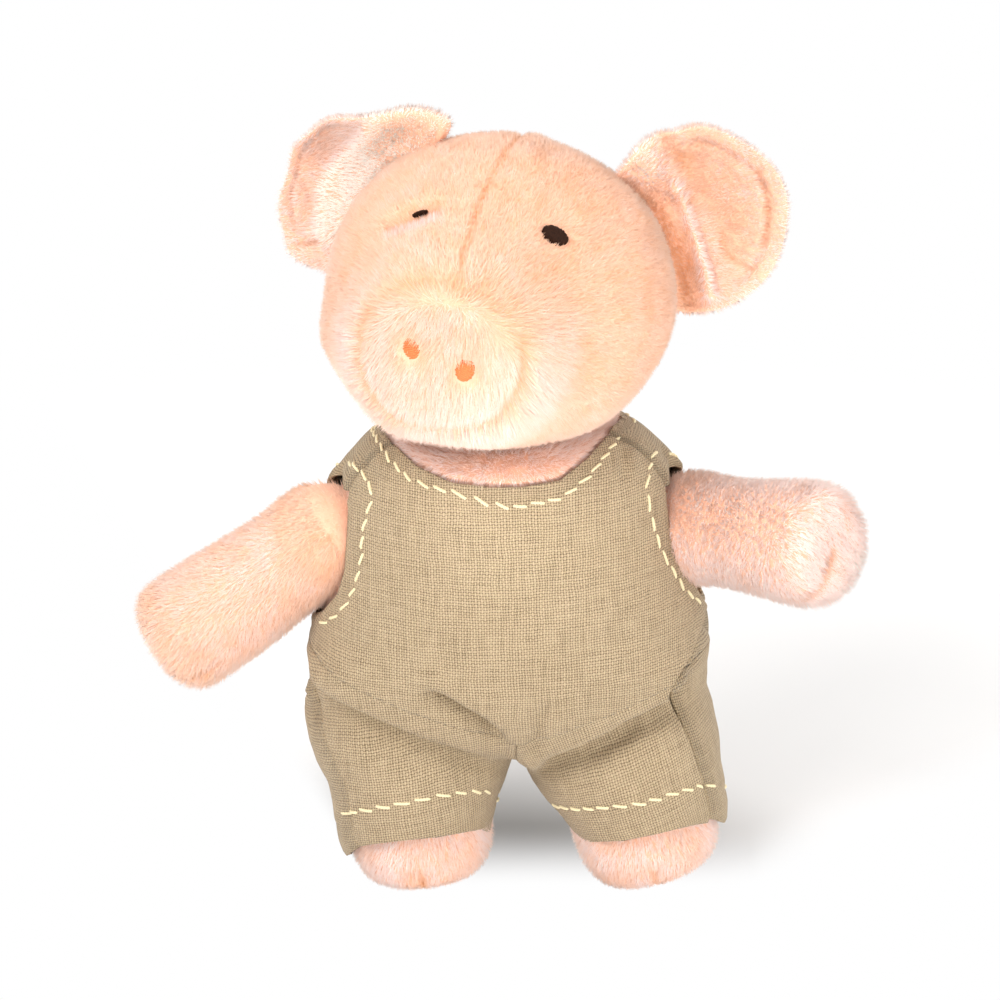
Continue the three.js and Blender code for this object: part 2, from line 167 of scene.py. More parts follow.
PLACES = {
    "torso": (TORSO_ORIGIN, TORSO_AXES),
    "head": (HEAD_CENTRE, HEAD_AXES),
    "arm_left": (pivot("arm_left_swing"), TORSO_AXES @ frame_toward(arm_reach("left"))),
    "arm_right": (pivot("arm_right_swing"), TORSO_AXES @ frame_toward(arm_reach("right"))),
    "leg_left": (pivot("leg_left_swing"), frame_toward(leg_stride("left"))),
    "leg_right": (pivot("leg_right_swing"), frame_toward(leg_stride("right"))),
}


def placed(body, points):
    origin, axes = PLACES[body]
    return points @ axes.T + origin


def within(body, points):
    """Points of the toy in a body's own axes."""
    origin, axes = PLACES[body]
    return (points - origin) @ axes


# Camera

PHOTO_SIDE = 1000
CAMERA_RISE = 20.0
CAMERA_DISTANCE = 800.0
CAMERA_FOCAL_PIXELS = 3520.0
CAMERA_TARGET = HEAD_CENTRE + np.array([-0.23, 4.0, -50.7])
SENSOR_WIDTH = 36.0


def project(points):
    """Where points of the toy fall on the photograph, in its pixels."""
    d = points - CAMERA_TARGET
    c, s = math.cos(math.radians(CAMERA_RISE)), math.sin(math.radians(CAMERA_RISE))
    depth = CAMERA_DISTANCE + d[:, 1] * c - d[:, 2] * s
    x = PHOTO_SIDE / 2 + CAMERA_FOCAL_PIXELS * d[:, 0] / depth
    y = PHOTO_SIDE / 2 - CAMERA_FOCAL_PIXELS * (d[:, 1] * s + d[:, 2] * c) / depth
    return np.stack([x, y], axis=1)


PIXELS_PER_MM = CAMERA_FOCAL_PIXELS / CAMERA_DISTANCE
VIEW_WAY = np.array([0.0, -math.cos(math.radians(CAMERA_RISE)), math.sin(math.radians(CAMERA_RISE))])


def set_camera():
    data = bpy.data.cameras.new("camera")
    camera = bpy.data.objects.new("camera", data)
    bpy.context.scene.collection.objects.link(camera)
    data.sensor_width = SENSOR_WIDTH
    data.lens = SENSOR_WIDTH * CAMERA_FOCAL_PIXELS / PHOTO_SIDE
    data.clip_start, data.clip_end = 0.05, 20
    camera.location = Vector((CAMERA_TARGET + VIEW_WAY * CAMERA_DISTANCE) * MM)
    camera.rotation_mode = "QUATERNION"
    camera.rotation_quaternion = Vector(-VIEW_WAY).to_track_quat("-Z", "Y")
    bpy.context.scene.camera = camera


# Light and floor. Places and sizes of lamps are in metres and their power in watts

WHITE = (1, 1, 1)
WORLD_TINT = (1.0, 0.985, 0.97, 1)
WORLD_STRENGTH = 0.72
LAMP_AIM = (0, 0, 0.09)
# Each soft lamp: its place, width, height, power and colour
SOFT_LAMPS = {
    "key": ((-0.5, -0.62, 0.8), 0.5, 0.5, 7.9, (1, 0.98, 0.975)),
    "fill": ((0.75, -0.6, 0.3), 0.8, 0.6, 4.0, WHITE),
    "low": ((0.1, -0.8, 0.06), 0.9, 0.3, 3.6, WHITE),
    "top": ((0.05, 0.05, 0.95), 0.8, 0.8, 2.6, WHITE),
    "back": ((0.3, 0.85, 0.5), 1.0, 0.8, 4.0, WHITE),
}
CHIN_LAMP_PLACE = (0.03, -0.33, 0.07)
CHIN_LAMP_AIM = (0.0, -0.02, 0.111)
CHIN_LAMP_POWER = 3.8
CHIN_LAMP_ANGLE = 11.0
CHIN_LAMP_SIZE = 0.03


def aimed_lamp(name, kind, place, aim, power):
    data = bpy.data.lights.new(name, kind)
    data.energy = power
    lamp = bpy.data.objects.new(name, data)
    bpy.context.scene.collection.objects.link(lamp)
    lamp.location = place
    lamp.rotation_mode = "QUATERNION"
    lamp.rotation_quaternion = (Vector(aim) - Vector(place)).to_track_quat("-Z", "Y")
    return data


def soft_lamp(name, place, width, height, power, colour):
    data = aimed_lamp(name, "AREA", place, LAMP_AIM, power)
    data.shape = "RECTANGLE"
    data.size, data.size_y = width, height
    data.color = colour


def chin_lamp():
    """A narrow lamp that opens the shadow under the chin."""
    data = aimed_lamp("chin", "SPOT", CHIN_LAMP_PLACE, CHIN_LAMP_AIM, CHIN_LAMP_POWER)
    data.spot_size = math.radians(CHIN_LAMP_ANGLE)
    data.spot_blend = 1.0
    data.shadow_soft_size = CHIN_LAMP_SIZE


def set_world():
    """White where the camera sees it, and a softer light on the toy."""
    world = bpy.data.worlds.new("studio")
    bpy.context.scene.world = world
    world.use_nodes = True
    world.node_tree.nodes.clear()
    w = Wires(world.node_tree)
    shown, lit = w.nodes.new("ShaderNodeBackground"), w.nodes.new("ShaderNodeBackground")
    shown.inputs["Color"].default_value = (*WHITE, 1)
    lit.inputs["Color"].default_value = WORLD_TINT
    lit.inputs["Strength"].default_value = WORLD_STRENGTH
    path = w.nodes.new("ShaderNodeLightPath")
    either = w.either(path.outputs["Is Camera Ray"], lit.outputs[0], shown.outputs[0])
    w.put(w.nodes.new("ShaderNodeOutputWorld").inputs[0], either)


def set_light():
    set_world()
    for name, lamp in SOFT_LAMPS.items():
        soft_lamp(name, *lamp)
    chin_lamp()


FLOOR_SIZE = 6.0
FLOOR_BOUNCE = (0.93, 0.92, 0.91, 1)
# How pale the floor is where the shadow ends
FLOOR_SEEN = 0.73
# A painted shadow: how pale the floor is painted under the toy, and how far out it turns from this to the
# other
FLOOR_PAINTED_SHADOW = 0.34
PAINTED_SHADOW_REACH = (0.02, 0.085)
# How far from the toy, and how far in front of it, the floor runs out to plain white
SHADOW_REACH = (0.16, 0.42)
FRONT_REACH = (-0.032, 0.004)
# Past this far to each side the front edge of the shadow draws back, at this slope
SHADOW_SIDES = {1.0: (0.06, 0.9), -1.0: (0.03, 3.0)}


def floor_fade(w, where, out):
    """From 0, where the floor keeps its shadow, to 1, where it is plain white."""
    parts = w.nodes.new("ShaderNodeSeparateXYZ")
    w.put(parts.inputs[0], where)
    nearer = w.maths("MULTIPLY", parts.outputs[1], -1.0)
    for way, (edge, slope) in SHADOW_SIDES.items():
        past = w.maths("MAXIMUM", w.maths("MULTIPLY_ADD", parts.outputs[0], way, -edge), 0.0)
        nearer = w.maths("ADD", nearer, w.maths("MULTIPLY", past, slope))
    return w.maths("MAXIMUM", w.smooth_step(out, SHADOW_REACH), w.smooth_step(nearer, FRONT_REACH))


def floor_material():
    mat, near, w = new_material("floor_white", 0.9, 0.0, 0.1)
    where = w.nodes.new("ShaderNodeTexCoord").outputs["Object"]
    length = w.nodes.new("ShaderNodeVectorMath")
    length.operation = "LENGTH"
    w.put(length.inputs[0], where)
    out = length.outputs["Value"]
    deep, pale = (FLOOR_PAINTED_SHADOW, FLOOR_PAINTED_SHADOW, FLOOR_PAINTED_SHADOW, 1), (FLOOR_SEEN, FLOOR_SEEN, FLOOR_SEEN, 1)
    # Painted shadow: the floor's colour darkens towards the toy
    w.put(near.inputs["Base Color"], w.mixed(w.smooth_step(out, PAINTED_SHADOW_REACH), deep, pale))
    white = w.nodes.new("ShaderNodeEmission")
    bounce = w.nodes.new("ShaderNodeBsdfDiffuse")
    bounce.inputs["Color"].default_value = FLOOR_BOUNCE
    shown = w.either(floor_fade(w, where, out), near.outputs[0], white.outputs[0])
    path = w.nodes.new("ShaderNodeLightPath")
    whole = w.either(path.outputs["Is Camera Ray"], bounce.outputs[0], shown)
    w.put(mat.node_tree.nodes["Material Output"].inputs["Surface"], whole)
    return mat


def set_floor():
    """A pale floor, painted darker under the toy as a painted shadow, that keeps the cast shadow near the toy
    and runs out to white.
    """
    bpy.ops.mesh.primitive_plane_add(size=FLOOR_SIZE, location=(0, 0, 0))
    floor = bpy.context.object
    floor.name = "floor"
    floor.data.materials.append(floor_material())


# Steady noise

def lattice(cells, seed):
    """A steady number from 0 to 1 for each whole-numbered cell."""
    c = cells.astype(np.int64).astype(np.uint64)
    h = c[..., 0] * np.uint64(73856093) ^ c[..., 1] * np.uint64(19349663) ^ c[..., 2] * np.uint64(83492791)
    h = (h + np.uint64(seed * 7919 + 17)) * np.uint64(0x9E3779B97F4A7C15)
    h ^= h >> np.uint64(29)
    h *= np.uint64(0xBF58476D1CE4E5B9)
    h ^= h >> np.uint64(32)
    return (h & np.uint64(0xFFFFFF)).astype(float) / 0x1000000


def noise(points, size, seed=0):
    """Smooth noise from -1 to 1 with features about size across."""
    scaled = points / size
    base = np.floor(scaled)
    t = scaled - base
    t = t * t * (3 - 2 * t)
    total = np.zeros(len(points))
    for corner in itertools.product((0, 1), repeat=3):
        corner = np.array(corner)
        weight = np.prod(np.where(corner == 1, t, 1 - t), axis=1)
        total += weight * lattice(base + corner, seed)
    return total * 2 - 1


def noise_way(points, size, seed):
    """Three smooth noises at once, as a way."""
    return np.stack([noise(points, size, seed + k) for k in range(3)], axis=1)


def tuft_centres(points, size, seed):
    """The nearest point of a jittered grid: the middle of the tuft that a root belongs to."""
    base = np.floor(points / size)
    nearest = np.full(len(points), 1e9)
    centre = points.copy()
    for offset in itertools.product((-1, 0, 1), repeat=3):
        cell = base + np.array(offset)
        spot = (cell + np.stack([lattice(cell, seed + k) for k in range(3)], axis=1)) * size
        away = ((spot - points) ** 2).sum(1)
        closer = away < nearest
        nearest = np.where(closer, away, nearest)
        centre = np.where(closer[:, None], spot, centre)
    return centre


def bump(distance, width):
    """1 on a line, falling off to nothing about twice its width away."""
    return np.exp(-(distance / width) ** 2)


def near_path(pixels, path):
    """How far each pixel lies from a line, in millimetres of the view, and how far along it, 0 to 1."""
    path = np.array(path, float)
    best = np.full(len(pixels), 1e9)
    along = np.zeros(len(pixels))
    lengths = np.linalg.norm(np.diff(path, axis=0), axis=1)
    total, gone = lengths.sum(), 0.0
    for a, b, length in zip(path[:-1], path[1:], lengths):
        t = np.clip(((pixels - a) @ (b - a)) / length ** 2, 0, 1)
        d = np.linalg.norm(pixels - (a + t[:, None] * (b - a)), axis=1)
        closer = d < best
        best = np.where(closer, d, best)
        along = np.where(closer, (gone + t * length) / total, along)
        gone += length
    return best / PIXELS_PER_MM, along


def beside_path(pixels, path):
    """Like near_path, but below zero on the lower side of a line that runs to the right."""
    path = np.array(path, float)
    away, along = near_path(pixels, path)
    best = np.full(len(pixels), 1e9)
    side = np.ones(len(pixels))
    for a, b in zip(path[:-1], path[1:]):
        t = np.clip(((pixels - a) @ (b - a)) / ((b - a) @ (b - a)), 0, 1)
        d = np.linalg.norm(pixels - (a + t[:, None] * (b - a)), axis=1)
        cross = (b - a)[0] * (pixels - a)[:, 1] - (b - a)[1] * (pixels - a)[:, 0]
        side = np.where(d < best - 1e-6, np.where(cross > 0, -1.0, 1.0), side)
        best = np.minimum(best, d)
    return away * side, along


# Meshes

def add_mesh(name, points, faces, materials, face_materials=None, normals=None, uv=None):
    """A piece from points in millimetres and faces of one size."""
    faces = np.asarray(faces, np.int32)
    sides = faces.shape[1]
    data = bpy.data.meshes.new(name)
    data.vertices.add(len(points))
    data.vertices.foreach_set("co", (np.asarray(points) * MM).astype(np.float32).ravel())
    data.loops.add(faces.size)
    data.loops.foreach_set("vertex_index", faces.ravel())
    data.polygons.add(len(faces))
    data.polygons.foreach_set("loop_start", np.arange(0, faces.size, sides, dtype=np.int32))
    for material in materials:
        data.materials.append(material)
    if face_materials is not None:
        data.polygons.foreach_set("material_index", face_materials.astype(np.int32))
    data.update(calc_edges=True)
    data.polygons.foreach_set("use_smooth", np.full(len(faces), True))
    if uv is not None:
        layer = data.uv_layers.new(name="cloth")
        layer.data.foreach_set("uv", (uv[faces.ravel()] * MM).astype(np.float32).ravel())
    if normals is not None:
        data.normals_split_custom_set_from_vertices(unit(normals).astype(np.float32))
    piece = bpy.data.objects.new(name, data)
    bpy.context.scene.collection.objects.link(piece)
    return piece


def ball_grid(around, along):
    """Ways from the middle of a unit ball as rows from +Z to -Z, and the faces between them."""
    theta = np.linspace(0, math.pi, along + 1)
    phi = np.linspace(0, 2 * math.pi, around, endpoint=False)
    t, p = np.meshgrid(theta, phi, indexing="ij")
    ways = np.stack([np.sin(t) * np.cos(p), np.sin(t) * np.sin(p), np.cos(t)], axis=-1).reshape(-1, 3)
    row = np.arange(along)[:, None] * around
    step = np.arange(around)
    nxt = (step + 1) % around
    faces = np.stack([row + step, row + around + step, row + around + nxt, row + nxt], axis=-1)
    return ways, faces.reshape(-1, 4)


def grid_normals(points, faces):
    """Normals at the points of a mesh of four-sided faces."""
    a, b, c, d = (points[faces[:, k]] for k in range(4))
    flat = np.cross(c - a, d - b)
    normals = np.zeros_like(points)
    for k in range(4):
        np.add.at(normals, faces[:, k], flat)
    return unit(normals)


def smooth_curve(points, samples):
    """A curve through points, even in their order, as an array of samples."""
    p = np.array(points, float)
    p = np.vstack([2 * p[0] - p[1], p, 2 * p[-1] - p[-2]])
    t = np.linspace(0, len(p) - 3, samples)
    i = np.minimum(t.astype(int), len(p) - 4)
    f = (t - i)[:, None]
    a, b, c, d = p[i], p[i + 1], p[i + 2], p[i + 3]
    second = 2 * a - 5 * b + 4 * c - d
    third = 3 * b - a - 3 * c + d
    return 0.5 * (2 * b + (c - a) * f + second * f ** 2 + third * f ** 3)


def turned_form(profile, margin, around, along, depth=(1.0, 1.0)):
    """A form turned round Z from [radius, height] samples, grown by a margin: points, faces and normals."""
    curve = smooth_curve(profile, along + 1)
    tangent = unit(np.gradient(curve, axis=0))
    reach = np.maximum(curve[:, 0] - tangent[:, 1] * margin, 0)
    height = curve[:, 1] + tangent[:, 0] * margin
    share = np.linspace(0, 1, along + 1)
    deep = depth[0] + (depth[1] - depth[0]) * share
    _, faces = ball_grid(around, along)
    phi = np.tile(np.linspace(0, 2 * math.pi, around, endpoint=False), along + 1)
    rows = np.repeat(np.arange(along + 1), around)
    points = np.stack(
        [reach[rows] * np.cos(phi), reach[rows] * deep[rows] * np.sin(phi), height[rows]], axis=1
    )
    return points, faces, grid_normals(points, faces)


def limb_profile(radius, length, swell):
    """The half outline of an arm, leg or trouser leg, from its domed root down to its tip."""
    points = []
    for step in range(ROOT_DOME_STEPS + 1):
        turn = math.pi / 2 * (1 - step / ROOT_DOME_STEPS)
        points.append([radius * math.cos(turn), radius * math.sin(turn)])
    points += [[r * radius, -h * length] for r, h in swell]
    return points + [[0, -length]]


BODY_CURVE = [[r * BODY_HALF_WIDTH, BODY_FOOT + h * BODY_HEIGHT] for r, h in BODY_PROFILE]


# Materials

# What each node group puts out
SURFACE = [("Color", "NodeSocketColor"), ("Height", "NodeSocketFloat"), ("Roughness", "NodeSocketFloat")]


def node_group(name, inputs):
    """A node group with its named inputs, which puts out a colour, a height and a roughness."""
    group = bpy.data.node_groups.new(name, "ShaderNodeTree")
    for label, kind, value in inputs:
        group.interface.new_socket(label, in_out="INPUT", socket_type=kind).default_value = value
    for label, kind in SURFACE:
        group.interface.new_socket(label, in_out="OUTPUT", socket_type=kind)
    return group, group.nodes.new("NodeGroupInput"), group.nodes.new("NodeGroupOutput")


class Wires:
    """Short calls to add nodes to a tree."""

    def __init__(self, tree):
        self.nodes, self.links = tree.nodes, tree.links

    def put(self, socket, value):
        if isinstance(value, bpy.types.NodeSocket):
            self.links.new(value, socket)
        else:
            socket.default_value = value

    def maths(self, operation, a, b=0.0, c=None):
        node = self.nodes.new("ShaderNodeMath")
        node.operation = operation
        self.put(node.inputs[0], a)
        self.put(node.inputs[1], b)
        if c is not None:
            self.put(node.inputs[2], c)
        return node.outputs[0]

    def noise(self, vector, scale, detail, output="Fac"):
        node = self.nodes.new("ShaderNodeTexNoise")
        self.put(node.inputs["Vector"], vector)
        node.inputs["Scale"].default_value = scale
        node.inputs["Detail"].default_value = detail
        return node.outputs[output]

    def smooth_step(self, value, reach):
        node = self.nodes.new("ShaderNodeMapRange")
        node.interpolation_type = "SMOOTHSTEP"
        self.put(node.inputs[0], value)
        node.inputs[1].default_value, node.inputs[2].default_value = reach
        return node.outputs[0]

    def either(self, share, a, b):
        """One shader or another, by a share of the second."""
        node = self.nodes.new("ShaderNodeMixShader")
        self.put(node.inputs[0], share)
        self.put(node.inputs[1], a)
        self.put(node.inputs[2], b)
        return node.outputs[0]

    def mixed(self, fac, a, b, blend="MIX"):
        node = self.nodes.new("ShaderNodeMix")
        node.data_type = "RGBA"
        node.blend_type = blend
        self.put(node.inputs[0], fac)
        self.put(node.inputs[6], a)
        self.put(node.inputs[7], b)
        return node.outputs[2]

    def vector(self, operation, a, b):
        node = self.nodes.new("ShaderNodeVectorMath")
        node.operation = operation
        self.put(node.inputs[0], a)
        self.put(node.inputs[1], b)
        return node.outputs[0]


def new_material(name, roughness, sheen, specular):
    mat = bpy.data.materials.new(name)
    mat.use_nodes = True
    bsdf = mat.node_tree.nodes["Principled BSDF"]
    bsdf.inputs["Roughness"].default_value = roughness
    bsdf.inputs["Specular IOR Level"].default_value = specular
    bsdf.inputs["Sheen Weight"].default_value = sheen
    bsdf.inputs["Sheen Roughness"].default_value = 0.5
    return mat, bsdf, Wires(mat.node_tree)


GROUND_MOTTLE = 90
GROUND_GRAIN = 1400


def plush_ground_group():
    """The cloth that the pile stands in: deeper in colour than the pile, as painted shade deep among the
    fibres, mottled, and rough.
    """
    group, given, out = node_group("plush_ground", [
        ("Pale", "NodeSocketColor", (0.92, 0.56, 0.4, 1)),
        ("Deep", "NodeSocketColor", (0.78, 0.4, 0.25, 1)),
    ])
    w = Wires(group)
    where = w.nodes.new("ShaderNodeTexCoord").outputs["Object"]
    broad = w.noise(where, GROUND_MOTTLE, 3)
    fine = w.noise(where, GROUND_GRAIN, 2)
    pale_share = w.maths("MULTIPLY", broad, 0.9)
    w.put(out.inputs["Color"], w.mixed(pale_share, given.outputs["Deep"], given.outputs["Pale"]))
    w.put(out.inputs["Height"], fine)
    w.put(out.inputs["Roughness"], w.maths("MULTIPLY_ADD", fine, 0.15, 0.8))
    return group


# The waver and the patches of the weave, as noise to the metre, and its slubs, long along each thread
WAVER_NOISE = 160
WAVER = 0.0011
SLUB_NOISE = (1500, 130)
PATCH_NOISE = 55
PATCH_TINT = (0.75, 0.68, 0.52, 1)
SLUB_GAIN, SLUB_LEAST = 1.4, 0.25
# Heights of the weave between which the gap gives way to thread
GAP_REACH = (0.2, 0.7)


def thread_round(w, place):
    """The sine of a place across the weave, which turns at each thread, and the thread's round height."""
    wave = w.maths("SINE", w.maths("MULTIPLY", place, math.pi))
    return wave, w.maths("ABSOLUTE", wave)


def linen_group():
    """Plain weave: warp over weft in turn, with slubs, on the cloth's own grid."""
    group, given, out = node_group("plain_weave", [
        ("Threads per metre", "NodeSocketFloat", 1620.0),
        ("Thread", "NodeSocketColor", (0.32, 0.238, 0.142, 1)),
        ("Pale thread", "NodeSocketColor", (0.57, 0.455, 0.30, 1)),
        ("Gap", "NodeSocketColor", (0.07, 0.043, 0.02, 1)),
    ])
    w = Wires(group)
    cloth = w.nodes.new("ShaderNodeUVMap")
    cloth.uv_map = "cloth"
    where = cloth.outputs[0]
    waver = w.vector("SUBTRACT", w.noise(where, WAVER_NOISE, 2, "Color"), (0.5, 0.5, 0.5))
    wavered = w.vector("ADD", where, w.vector("MULTIPLY", waver, (WAVER, WAVER, 0)))
    parts = w.nodes.new("ShaderNodeSeparateXYZ")
    w.put(parts.inputs[0], wavered)
    count = given.outputs["Threads per metre"]
    across, down = (w.maths("MULTIPLY", parts.outputs[k], count) for k in range(2))
    warp_wave, warp_round = thread_round(w, across)
    weft_wave, weft_round = thread_round(w, down)
    over = w.maths("GREATER_THAN", w.maths("MULTIPLY", warp_wave, weft_wave), 0.0)
    slub_warp = w.noise(w.vector("MULTIPLY", where, (*SLUB_NOISE, 1)), 1.0, 2)
    slub_weft = w.noise(w.vector("MULTIPLY", where, (*SLUB_NOISE[::-1], 1)), 1.0, 2)
    warp_height = w.maths("MULTIPLY", warp_round, w.maths("MULTIPLY_ADD", slub_warp, SLUB_GAIN, SLUB_LEAST))
    weft_height = w.maths("MULTIPLY", weft_round, w.maths("MULTIPLY_ADD", slub_weft, SLUB_GAIN, SLUB_LEAST))
    warp_up = w.maths("MULTIPLY", warp_height, w.maths("MULTIPLY_ADD", over, 0.5, 0.5))
    weft_up = w.maths("MULTIPLY", weft_height, w.maths("MULTIPLY_ADD", over, -0.5, 1.0))
    height = w.maths("MAXIMUM", warp_up, weft_up)
    slubs = w.maths("MULTIPLY", w.maths("ADD", slub_warp, slub_weft), 0.38)
    tone = w.maths("MULTIPLY_ADD", over, 0.25, slubs)
    thread = w.mixed(tone, given.outputs["Thread"], given.outputs["Pale thread"])
    solid = w.nodes.new("ShaderNodeMapRange")
    w.put(solid.inputs[0], height)
    solid.inputs[1].default_value, solid.inputs[2].default_value = GAP_REACH
    woven = w.mixed(solid.outputs[0], given.outputs["Gap"], thread)
    patch = w.maths("MULTIPLY", w.noise(where, PATCH_NOISE, 3), 0.22)
    w.put(out.inputs["Color"], w.mixed(patch, woven, PATCH_TINT, "MULTIPLY"))
    w.put(out.inputs["Height"], height)
    w.put(out.inputs["Roughness"], w.maths("MULTIPLY_ADD", height, -0.1, 0.93))
    return group


def grouped_material(name, group, colours, roughness, sheen, bump_depth, bump_strength, specular=0.2):
    """A material whose colour, roughness and relief come from a node group."""
    mat, bsdf, w = new_material(name, roughness, sheen, specular)
    node = w.nodes.new("ShaderNodeGroup")
    node.node_tree = group
    for label, colour in colours.items():
        node.inputs[label].default_value = colour
    w.put(bsdf.inputs["Base Color"], node.outputs["Color"])
    w.put(bsdf.inputs["Roughness"], node.outputs["Roughness"])
    relief = w.nodes.new("ShaderNodeBump")
    relief.inputs["Distance"].default_value = bump_depth
    relief.inputs["Strength"].default_value = bump_strength
    w.put(relief.inputs["Height"], node.outputs["Height"])
    w.put(bsdf.inputs["Normal"], relief.outputs[0])
    return mat


THREAD_FIBRES = 3200


def thread_group():
    """Spun thread: fine fibres wound along it."""
    group, given, out = node_group("spun_thread", [
        ("Pale", "NodeSocketColor", (0.86, 0.78, 0.52, 1)),
        ("Deep", "NodeSocketColor", (0.6, 0.5, 0.29, 1)),
    ])
    w = Wires(group)
    where = w.nodes.new("ShaderNodeTexCoord").outputs["Object"]
    fibre = w.noise(where, THREAD_FIBRES, 3)
    w.put(out.inputs["Color"], w.mixed(fibre, given.outputs["Deep"], given.outputs["Pale"]))
    w.put(out.inputs["Height"], fibre)
    w.put(out.inputs["Roughness"], w.maths("MULTIPLY_ADD", fibre, 0.2, 0.55))
    return group


def pile_materials(name, shades):
    """One plain material for each shade that the pile's fibres take, from deep to pale."""
    made = []
    for k, colour in enumerate(shades):
        mat, bsdf, _ = new_material(f"{name}_{k + 1}", 0.8, 0.5, 0.08)
        bsdf.inputs["Base Color"].default_value = (*colour, 1)
        bsdf.inputs["Sheen Tint"].default_value = (1.0, 0.9, 0.82, 1)
        made.append(mat)
    return made


# The pile's shades, deep to pale. Where a tone follows a fold, seam, rim or the neck, the shade it picks is
# painted light and painted shade
PILE_SHADES = [
    (0.86, 0.40, 0.21),
    (0.94, 0.52, 0.32),
    (0.98, 0.60, 0.43),
    (0.99, 0.68, 0.56),
    (0.995, 0.765, 0.70),
    (1.0, 0.89, 0.80),
]
# Shades that a tone from 0 to 1 runs through: above 1 it takes the palest
TONE_STEPS = 4


# Pile

# How strongly fibres are drawn to the middle of their tuft, and how wide a tuft is
PILE_PULL = 0.45
TUFT_SIZE = 1.7
# How far fibres stray from the comb, and over what width they stray together
LOOSENESS = 0.28
STRAY_SIZE = 4.5
ROOT_DEPTH = 0.25
TONE_PATCH = 3.0
# What a fibre's foot and tip take of the skin's normal, and of their own way
FOOT_SHADING = (0.75, 0.65)
TIP_SHADING = (0.9, 0.3)
FIBRE_SIDES = np.array([[0, 1, 3], [1, 2, 3], [2, 0, 3]])
# Fibres to the square millimetre where the pile is full
FULL_PILE = 8.0


def scatter(skin, density, chance):
    """How many roots a skin takes, and a way to read at each root what is given at the skin's points."""
    points, faces, _ = skin
    tris = np.vstack([faces[:, [0, 1, 2]], faces[:, [0, 2, 3]]])
    a, b, c = (points[tris[:, k]] for k in range(3))
    area = np.linalg.norm(np.cross(b - a, c - a), axis=1) / 2
    weight = area * density[tris].mean(1)
    number = int(weight.sum())
    spot = np.searchsorted(np.cumsum(weight), chance.random(number) * weight.sum())
    pick = tris[np.minimum(spot, len(tris) - 1)]
    u, v = chance.random((2, number, 1))
    u, v = np.where(u + v > 1, 1 - u, u), np.where(u + v > 1, 1 - v, v)

    def at_roots(values):
        values = np.asarray(values, float)
        if values.ndim < 2:
            values = np.broadcast_to(values, len(points))[:, None]
        p, q, r = (values[pick[:, k]] for k in range(3))
        return p + u * (q - p) + v * (r - p)

    return number, at_roots


def varied(chance, number, share):
    """A factor for each fibre, from 1 less the share to 1 more."""
    return 1 - share + 2 * share * chance.random((number, 1))


def along_skin(ways, normals):
    return ways - (ways * normals).sum(1, keepdims=True) * normals


def fibre_tips(root, normal, comb, length, lean, pull, seed, chance):
    """Where each fibre ends: combed over the skin, and drawn to the middle of its tuft."""
    number = len(root)
    stray = 0.5 * LOOSENESS * chance.normal(size=root.shape)
    way = comb + LOOSENESS * noise_way(root, STRAY_SIZE, seed + 3) + stray
    way = unit(along_skin(way, normal))
    reach = length * varied(chance, number, 0.25)
    tilt = lean * varied(chance, number, 0.2)
    rise = unit(normal * (1 - tilt) + way * tilt)
    toward = along_skin(tuft_centres(root, TUFT_SIZE, seed + 11) - root, normal)
    return root + rise * reach + toward * pull * varied(chance, number, 0.4)


def fibre_forms(root, tip, normal, chance):
    """Each fibre as a slim three-sided pyramid: its four corners, and the soft normals that shade it."""
    line = unit(tip - root)
    side = unit(np.cross(line, chance.normal(size=root.shape)))
    other = np.cross(line, side)
    width = PILE_WIDTH * varied(chance, len(root), 0.3)
    ring = []
    for k in range(3):
        angle = 2 * math.pi * k / 3
        ring.append(side * math.cos(angle) + other * math.sin(angle))
    corners = [root + way * width for way in ring] + [tip]
    soft = [unit(normal * FOOT_SHADING[0] + way * FOOT_SHADING[1]) for way in ring]
    soft.append(unit(normal * TIP_SHADING[0] + line * TIP_SHADING[1]))
    return np.stack(corners, axis=1), np.stack(soft, axis=1)


def fibre_piece(name, corners, soft, level):
    first = np.arange(len(corners))[:, None, None] * 4
    faces = (first + FIBRE_SIDES).reshape(-1, 3)
    piece = add_mesh(
        name, corners.reshape(-1, 3), faces, PILE, np.repeat(level, 3), normals=soft.reshape(-1, 3),
    )
    return piece


def grow_pile(name, skin, density, length, comb, shade, lean, seed, pull=PILE_PULL):
    """Fibres over a skin. Density, comb and shade are given at each of its points."""
    points, _, normals = skin
    chance = np.random.default_rng(seed)
    number, at_roots = scatter(skin, density, chance)
    root, normal = at_roots(points), unit(at_roots(normals))
    tip = fibre_tips(root, normal, at_roots(comb), at_roots(length), at_roots(lean), pull, seed, chance)
    root = root - normal * ROOT_DEPTH
    corners, soft = fibre_forms(root, tip, normal, chance)
    patch = 0.16 * noise(root, TONE_PATCH, seed + 21)
    tone = at_roots(shade)[:, 0] + patch + 0.08 * chance.normal(size=number)
    level = np.clip(np.rint(tone * TONE_STEPS), 0, len(PILE_SHADES) - 1).astype(int)
    parts = math.ceil(number / MOST_FIBRES)
    pieces = []
    for part in range(parts):
        mine = slice(part, None, parts)
        pieces.append(fibre_piece(f"{name}_{part + 1}", corners[mine], soft[mine], level[mine]))
    return pieces


def plush_skin(name, points, faces, nodes, normals=None):
    """The ground cloth of a stuffed piece, which stands in for its solids."""
    skin = add_mesh(name, points, faces, [PLUSH_GROUND], normals=normals)
    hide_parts(*nodes)
    return skin


# Head

MUZZLE_AXES = turned("Z", -MUZZLE_TURN) @ turned("X", MUZZLE_DROOP)
MUZZLE_AIM = MUZZLE_AXES @ np.array([0.0, -1.0, 0.0])


